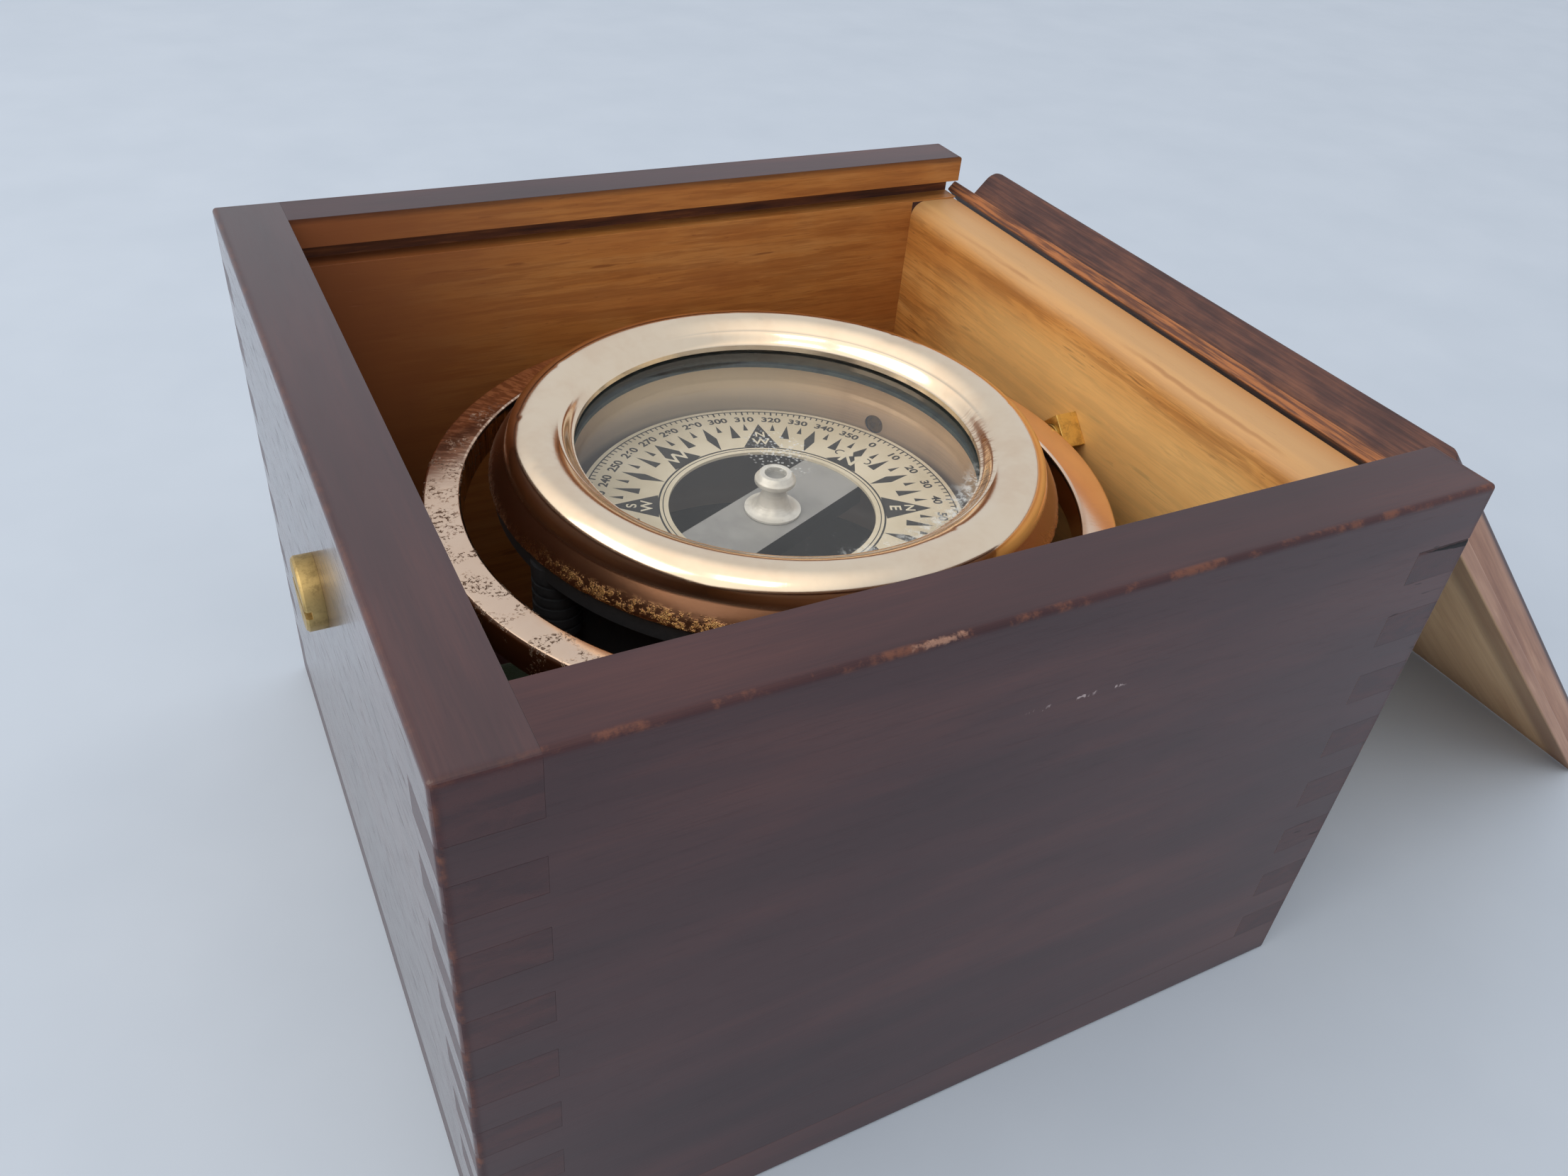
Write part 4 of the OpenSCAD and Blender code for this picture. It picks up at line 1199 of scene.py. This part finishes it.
@dataclass
class BezelRing:
    """The polished ring that holds the glass: rough flange, cove, crown and a slope to the opening."""

    opening: float = 36.3
    slope_w: float = 2.4
    slope_h: float = 1.7
    crown_h: float = 4.2
    flange_w: float = 3.2
    file_w: float = 0.9
    dent_count: int = 26
    turns: int = 540
    steps: int = 14

    def build(self) -> None:
        """Makes the bezel."""
        low, high = node_box("bezel_ring")
        self.outer, self.rim_z, self.top_z = high.x, low.z, high.z
        _, gasket = node_box("upper_gasket")
        self.seat_r, self.lip_z = gasket.x + 0.2, gasket.z
        self.dents = self.pick_dents()
        mesh = lathe("bezel_mesh", self.outline(), self.turns, self.roughen)
        slope = self.opening + self.slope_w
        turned = (slope - 1.1, slope + 0.5)
        finish = PolishedBronze("bezel_bronze", pits=0.12, slope=turned, flange=self.outer)
        make_piece("bezel", mesh, Body.BOWL, finish, "bronze", "bezel_ring")

    def outline(self) -> list[Point]:
        """The section of the bezel, from the seat outwards, over the crown and down to the glass."""
        edge_r, crown_out, flank_w = 0.2, self.outer - self.flange_w, self.flange_w - 0.25
        slope_r = self.opening + self.slope_w
        crown_r, crown_z = (crown_out + slope_r) / 2, self.top_z - self.crown_h
        half_w = crown_out - crown_r
        bead_z, bead_h = self.rim_z + 0.3, crown_z - 0.6 - self.rim_z
        edge_z, fall = self.lip_z + 1.0, self.top_z - self.slope_h - self.lip_z - 1.0
        parts = [i / self.steps for i in range(1, self.steps + 1)]
        crown = [math.radians(12 + 78 * t) for t in parts]
        bulge = [t - 0.05 * math.sin(math.pi * t) for t in parts]
        return [
            (self.seat_r, self.rim_z),
            *arc((self.outer - edge_r, self.rim_z + edge_r), edge_r, -90, 0, 3),
            *[(self.outer - flank_w * b, bead_z + bead_h * t) for b, t in zip(bulge, parts)],
            (crown_out + 0.06, crown_z + 0.3),
            *[(crown_r + half_w * math.cos(a), crown_z + self.crown_h * math.sin(a)) for a in crown],
            *[(crown_r - (crown_r - slope_r) * t, self.top_z - self.slope_h * t * t) for t in parts],
            *[(slope_r - self.slope_w * t, edge_z + fall * (1 + math.cos(math.pi * t)) / 2) for t in parts],
            (self.opening, self.lip_z),
            (self.seat_r, self.lip_z),
        ]

    def pick_dents(self) -> list[tuple[float, float, float, float]]:
        """Angle, radius, size and depth of the knocks in the crown."""
        draw = random.Random(11)
        return [
            tuple(draw.uniform(*span) for span in ((0, 2 * math.pi), (40, 47), (0.5, 1.3), (0.02, 0.09)))
            for _ in range(self.dent_count)
        ]

    def roughen(self, angle: float, radius: float, height: float) -> Point:
        """Files the flange's edge rough and knocks dents in the crown."""
        at = Vector((math.cos(angle), math.sin(angle), 0.0))
        edge = max(0.0, radius - (self.outer - self.file_w)) / self.file_w
        if edge > 0:
            radius -= edge * (0.12 + 0.14 * noise.noise(at * 60 + Vector((0, 0, height * 1.3))))
            height += edge * 0.08 * noise.noise(at * 45 + Vector((0, 0, 7.0)))
        elif height > self.rim_z + 2.5:
            radius += 0.03 * noise.noise(at * 4 + Vector((0, 0, radius * 0.2)))
            for turn, place, size, depth in self.dents:
                if abs(radius - place) > 3 * size:
                    continue
                gap = math.remainder(angle - turn, 2 * math.pi) * place
                height -= depth * math.exp(-(gap * gap + (radius - place) ** 2) / size**2)
        return radius, height


@dataclass
class Bowl:
    """The casting and everything fixed in it."""

    inner_r: float = 40.0
    floor_t: float = 4.0

    def build(self) -> None:
        """Makes the bezel and dresses the bowl's other pieces."""
        BezelRing().build()
        floor_z, card_z = node_box("bowl")[0].z + self.floor_t, node_box("card_ring")[0].z
        dress_nodes({
            "bowl": BowlFinish("bowl_paint", self.inner_r, floor_z, card_z),
            "glass": CompassGlass("compass_glass", node_box("glass")[1].x),
            "upper_gasket": BLACK_RUBBER, "lower_gasket": TEAL_RUBBER, "plug_washer": LEATHER,
            "diaphragm": SPRING_BRONZE, "pivot_needle": STEEL,
        })
        for node, name, width, finish, slot in (
            ("bezel_screws", "lug_screws", 0.12, DULL_BRASS, "brass"),
            ("filler_plug", "filler", 0.2, DULL_BRASS, "brass"),
            ("ballast_weight", "ballast", 0.3, LEAD, "lead"),
            ("ballast_screws", "ballast_fixings", 0.1, DULL_BRASS, "brass"),
            ("pivot_post", "post", 0.15, DULL_BRASS, "brass"),
        ):
            soft_piece(node, name, width, Body.BOWL, finish, slot)


@dataclass
class CompassCard:
    """The card: paper ring with its print, bar, hub and magnets."""

    heading: float = 24.3
    ink_t: float = 0.02
    sunk: float = 0.08
    rose_r: float = 30.3
    pale_lift: float = 0.02
    cap_share: float = 0.72

    def build(self) -> None:
        """Dresses the card's parts and prints the card."""
        _, high = node_box("card_ring")
        self.top, self.outer = high.z, high.x
        dress_nodes({"card_ring": CARD_PAPER, "magnets": MAGNET_PAINT, "jewel": RUBY})
        bar = soft_piece("card_bar", "bar", 0.2, Body.CARD, [BAR_PAINT, MAGNET_PAINT], "bar_paint")
        for face in bar.data.polygons:
            face.material_index = int(face.normal.z < 0.6)
        self.hub()
        self.print_with(BLACK_INK, "card_marks", self.marks)
        self.print_with(BLACK_INK, "card_numbers", self.numbers)
        self.print_with(WHITE_INK, "card_letters", self.letters)

    def print_with(self, ink: Finish, name: str, shapes: Callable[[], None]) -> None:
        """Makes one piece of print from what a method adds to the sheet of ink."""
        self.sheet = bmesh.new()
        shapes()
        make_piece(name, mesh_from(self.sheet, name + "_mesh"), Body.CARD, ink, "card_paper")

    def hub(self) -> None:
        """The turned spool on the bar, with a pit in its head."""
        low, high = node_box("card_hub")
        bore, seat = node_box("jewel")[1].x, node_box("jewel")[1].z
        foot, top, rise, steps = high.x, high.z, low.z + 0.6, 16
        neck, head, rim, pit = (foot * share for share in (0.42, 0.72, 0.54, 0.38))
        under, floor = top - 2.4, top - 1.0
        flare = [math.pi / 2 * i / steps for i in range(1, steps + 1)]
        reach, climb = foot - neck, under - 0.5 - rise
        outline = [
            (0.0, seat), (bore, seat), (bore, low.z),
            *arc((foot - 0.3, low.z + 0.3), 0.3, -90, 0, 4), (foot, rise),
            *[(neck + reach * (1 - math.sin(a)), rise + climb * (1 - math.cos(a))) for a in flare],
            (neck, under - 0.2), *arc((head - 0.3, under + 0.6), 0.3, -60, 0, 4),
            *arc((head - 0.3, under + 1.1), 0.3, 0, 50, 4), *arc((rim, top - 0.2), 0.2, 50, 90, 3),
            *arc((pit + 0.15, top - 0.15), 0.15, 90, 180, 3), (pit, floor), (0.0, floor),
        ]
        finish = TurnedAluminium("turned_aluminium", pit, top)
        make_piece("hub", lathe("hub_mesh", outline, 96), Body.CARD, finish, "aluminium", "card_hub")

    def way(self, degrees: float) -> float:
        """Angle in the part's frame of a direction on the card, in radians."""
        return math.radians(self.heading - degrees)

    def spot(self, degrees: float, radius: float, aside: float = 0.0) -> Point:
        """Place on the card: along a direction by `radius`, and to its right by `aside`."""
        c, s = math.cos(self.way(degrees)), math.sin(self.way(degrees))
        return radius * c + aside * s, radius * s - aside * c

    def stamp(self, outline: Sequence[Point], lift: float = 0.0) -> None:
        """Adds one inked shape as a thin solid, its foot sunk in the card."""
        levels = (self.top - self.sunk, self.top + self.ink_t + lift)
        add = self.sheet.verts.new
        low, high = ([add((x * MM, y * MM, z * MM)) for x, y in outline] for z in levels)
        self.sheet.faces.new(reversed(low))
        self.sheet.faces.new(high)
        for i, j in zip(range(len(low)), [*range(1, len(low)), 0]):
            self.sheet.faces.new((low[i], low[j], high[j], high[i]))

    def shape(self, degrees: float, corners: Sequence[Point]) -> None:
        """Stamps a shape given by the radius and the offset of its corners on one direction."""
        self.stamp([self.spot(degrees, radius, aside) for radius, aside in corners])

    def point(self, degrees: float, foot: float, tip: float, half: float) -> None:
        """Stamps a point of the rose, its tip outwards."""
        self.shape(degrees, ((foot, half), (tip, 0.0), (foot, -half)))

    def diamond(self, degrees: float, foot: float, waist: float, tip: float, half: float) -> None:
        """Stamps a long diamond."""
        self.shape(degrees, ((foot, 0.0), (waist, half), (tip, 0.0), (waist, -half)))

    def band(self, inner: float, outer: float) -> None:
        """Adds a printed circle between two radii."""
        low, high = self.top - self.sunk, self.top + self.ink_t
        turn_outline(self.sheet, ((inner, low), (inner, high), (outer, high), (outer, low)), 240)

    def marks(self) -> None:
        """The degree ring, the points and the circles."""
        edge, half_line = self.outer - 0.95, 0.13
        point_foot, north_tip, rose_tip = 21.2, 25.9, self.rose_r
        self.band(edge - half_line, edge + half_line)
        self.band(20.3, 20.48)
        self.band(21.0, 21.35)
        for mark in range(0, 360, 2):
            length, half = (1.3, 0.17) if mark % 10 == 0 else (1.0, 0.13)
            start = edge - length
            self.shape(mark, ((start, half), (edge, half), (edge, -half), (start, -half)))
        for eighth in range(8):
            start = eighth * 45.0
            self.point(start, point_foot, rose_tip if eighth else north_tip, 3.6)
            self.diamond(start + 22.5, point_foot + 0.3, 25.8, rose_tip - 0.1, 1.05)
            for turn in (11.25, 33.75):
                self.point(start + turn, 25.1, rose_tip - 0.1, 0.93)
            for turn in (5.625, 16.875, 28.125, 39.375):
                self.point(start + turn, 27.8, rose_tip + 0.1, 0.5)
        self.diamond(0.0, 25.4, 26.9, rose_tip, 1.0)
        for side in (-1, 1):
            self.stroke(self.curl(side), 0.15)

    def curl(self, side: int, steps: int = 21) -> list[Point]:
        """Middle line of the scroll on one side of the north letter, outside its triangle."""
        points = []
        for t in (i / steps for i in range(steps + 1)):
            turn, reach = math.radians(200 * t - 20) * side, 1.25 - 0.75 * t
            radius = 25.2 + side * 0.5 + reach * math.cos(turn)
            points.append(self.spot(0.0, radius, side * 2.9 + reach * math.sin(turn)))
        return points

    def stroke(self, points: Sequence[Point], half: float, lift: float = 0.0) -> None:
        """Adds an inked line of even width along some points."""
        left, right = [], []
        for i, (x, y) in enumerate(points):
            (x0, y0), (x1, y1) = points[max(i - 1, 0)], points[min(i + 1, len(points) - 1)]
            length = math.hypot(x1 - x0, y1 - y0)
            dx, dy = (x1 - x0) / length * half, (y1 - y0) / length * half
            left.append((x - dy, y + dx))
            right.append((x + dy, y - dx))
        for i in range(len(points) - 1):
            self.stamp([left[i], left[i + 1], right[i + 1], right[i]], lift)

    def lettering(
        self, text: str, degrees: float, radius: float, height: float,
        lift: float = 0.0, wide: float = 1.0, bold: float = 0.05,
    ) -> None:
        """Adds letters that stand with their feet towards the hub.

        Args:
            text: what to write.
            degrees: direction on the card.
            radius: distance of the letters' middle from the axis.
            height: height of the letters in millimetres.
            lift: extra height over the card.
            wide: how much wider than the font the letters are.
            bold: how far the outlines are moved out, in millimetres.
        """
        curve = bpy.data.curves.new("text", "FONT")
        curve.body = text
        curve.align_x, curve.align_y = "CENTER", "CENTER"
        curve.size = height * MM / self.cap_share
        curve.extrude = (self.sunk + self.ink_t + lift) * MM / 2
        curve.offset = bold * MM
        mesh = evaluated(placed("carrier", curve))
        middle = self.top + (self.ink_t + lift - self.sunk) / 2
        mesh.transform(
            Matrix.Translation(Vector((*self.spot(degrees, radius), middle)) * MM)
            @ Matrix.Rotation(self.way(degrees) - math.pi / 2, 4, "Z")
            @ Matrix.Diagonal((wide, 1.0, 1.0, 1.0))
        )
        self.sheet.from_mesh(mesh)
        bpy.data.meshes.remove(mesh)

    def numbers(self) -> None:
        """The degrees, every ten."""
        for mark in range(0, 360, 10):
            self.lettering(str(mark), mark, self.outer - 4.15, 1.75, wide=1.12, bold=0.07)

    def letters(self) -> None:
        """The letters of the eight winds, pale on the dark points, and the dashes of the north's scroll."""
        lift = self.pale_lift
        for degrees, letter in ((90, "E"), (180, "S"), (270, "W")):
            self.lettering(letter, degrees, 23.9, 3.3, lift, 1.1)
        for degrees, (first, second) in ((45, "NE"), (135, "SE"), (225, "SW"), (315, "NW")):
            self.lettering(first, degrees, 26.1, 1.9, lift, 1.05)
            self.lettering(second, degrees, 23.3, 2.2, lift, 1.1)
        self.lettering("N", 0, 23.7, 3.0, lift, 1.2, 0.08)
        for side in (-1, 1):
            self.stroke([self.spot(0.0, 25.2, side * a) for a in (1.2, 1.8, 2.4)], 0.14, lift)


@dataclass
class Studio:
    """Floor, light and camera."""

    image_w: int = 2212
    focal_px: float = 1753.28
    eye: Place = (-94.7, -168.5, 207.4)
    ahead: Place = (0.40204, 0.68482, -0.60777)
    right: Place = (0.88922, -0.45028, 0.08085)
    bright_way: Place = (-0.62, -0.05, 0.78)
    shade: Place = (0.6, 0.63, 0.68)
    glow: Place = (1.14, 1.1, 1.05)

    def build(self) -> None:
        """Sets up everything that isn't the compass."""
        bpy.context.scene.view_settings.view_transform = "Standard"
        self.floor()
        self.sky()
        self.window("window", (-0.95, 0.1, 0.7), 0.9, 3.6, (1.0, 0.95, 0.88))
        self.window("opening", (-0.33, -0.4, 0.98), 0.3, 0.8, (1.0, 0.93, 0.8))
        self.camera()

    def floor(self) -> None:
        """A pale floor."""
        bm = bmesh.new()
        bmesh.ops.create_grid(bm, x_segments=2, y_segments=2, size=3.0)
        obj = placed("floor", mesh_from(bm, "floor_mesh"))
        dress(obj, PaleCloth("pale_cloth"))
        obj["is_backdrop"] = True

    def sky(self) -> None:
        """A pale room round the scene, brighter high on one side."""
        world = bpy.data.worlds.new("room")
        world.use_nodes = True
        bpy.context.scene.world = world
        tree = world.node_tree
        way, toward, spread, tint = (
            tree.nodes.new("ShaderNode" + kind) for kind in ("TexCoord", "VectorMath", "MapRange", "Mix")
        )
        toward.operation = "DOT_PRODUCT"
        toward.inputs[1].default_value = Vector(self.bright_way).normalized()
        spread.interpolation_type = "SMOOTHSTEP"
        spread.inputs["From Min"].default_value = 0.35
        spread.inputs["From Max"].default_value = 0.9
        tint.data_type = "RGBA"
        tint.inputs[6].default_value = (*self.shade, 1.0)
        tint.inputs[7].default_value = (*self.glow, 1.0)
        back = tree.nodes["Background"]
        for start, end in (
            (way.outputs["Generated"], toward.inputs[0]), (toward.outputs["Value"], spread.inputs["Value"]),
            (spread.outputs["Result"], tint.inputs[0]), (tint.outputs[2], back.inputs["Color"]),
        ):
            tree.links.new(start, end)

    @staticmethod
    def window(name: str, place: Place, side: float, power: float, colour: Colour) -> None:
        """A large soft light that looks at the compass, its place and side in metres."""
        lamp = bpy.data.lights.new(name, "AREA")
        lamp.size, lamp.energy, lamp.color = side, power, colour
        obj = placed(name, lamp)
        obj.location = place
        obj.rotation_euler = (-Vector(place)).to_track_quat("-Z", "Y").to_euler()

    def camera(self) -> None:
        """A camera at the photograph's place."""
        data = bpy.data.cameras.new("camera")
        data.sensor_width = 36.0
        data.lens = self.focal_px / self.image_w * data.sensor_width
        data.clip_start = 0.01
        right, ahead = Vector(self.right), Vector(self.ahead)
        turn = Matrix((right, right.cross(ahead), -ahead)).transposed().to_4x4()
        obj = placed("camera", data)
        obj.matrix_world = Matrix.Translation(Vector(self.eye) * MM) @ turn
        bpy.context.scene.camera = obj


def write_sizes() -> None:
    """Gathers the CAD's box and the dressed model's box as lists of corners."""
    boxes = {"cad": CAD_BOX, "visual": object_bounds()}
    boxes = {name: [list(corner) for corner in box] for name, box in boxes.items()}


def main() -> None:
    """Builds the compass and its studio."""
    logging.basicConfig(level=logging.INFO, format="%(name)s: %(message)s")
    for part in (WoodenBox(), SlidingLid(), GimbalRing(), Bowl(), CompassCard(), Studio()):
        LOG.info("building %s", type(part).__name__)
        part.build()
    write_sizes()


if __name__ == "__main__":
    main()
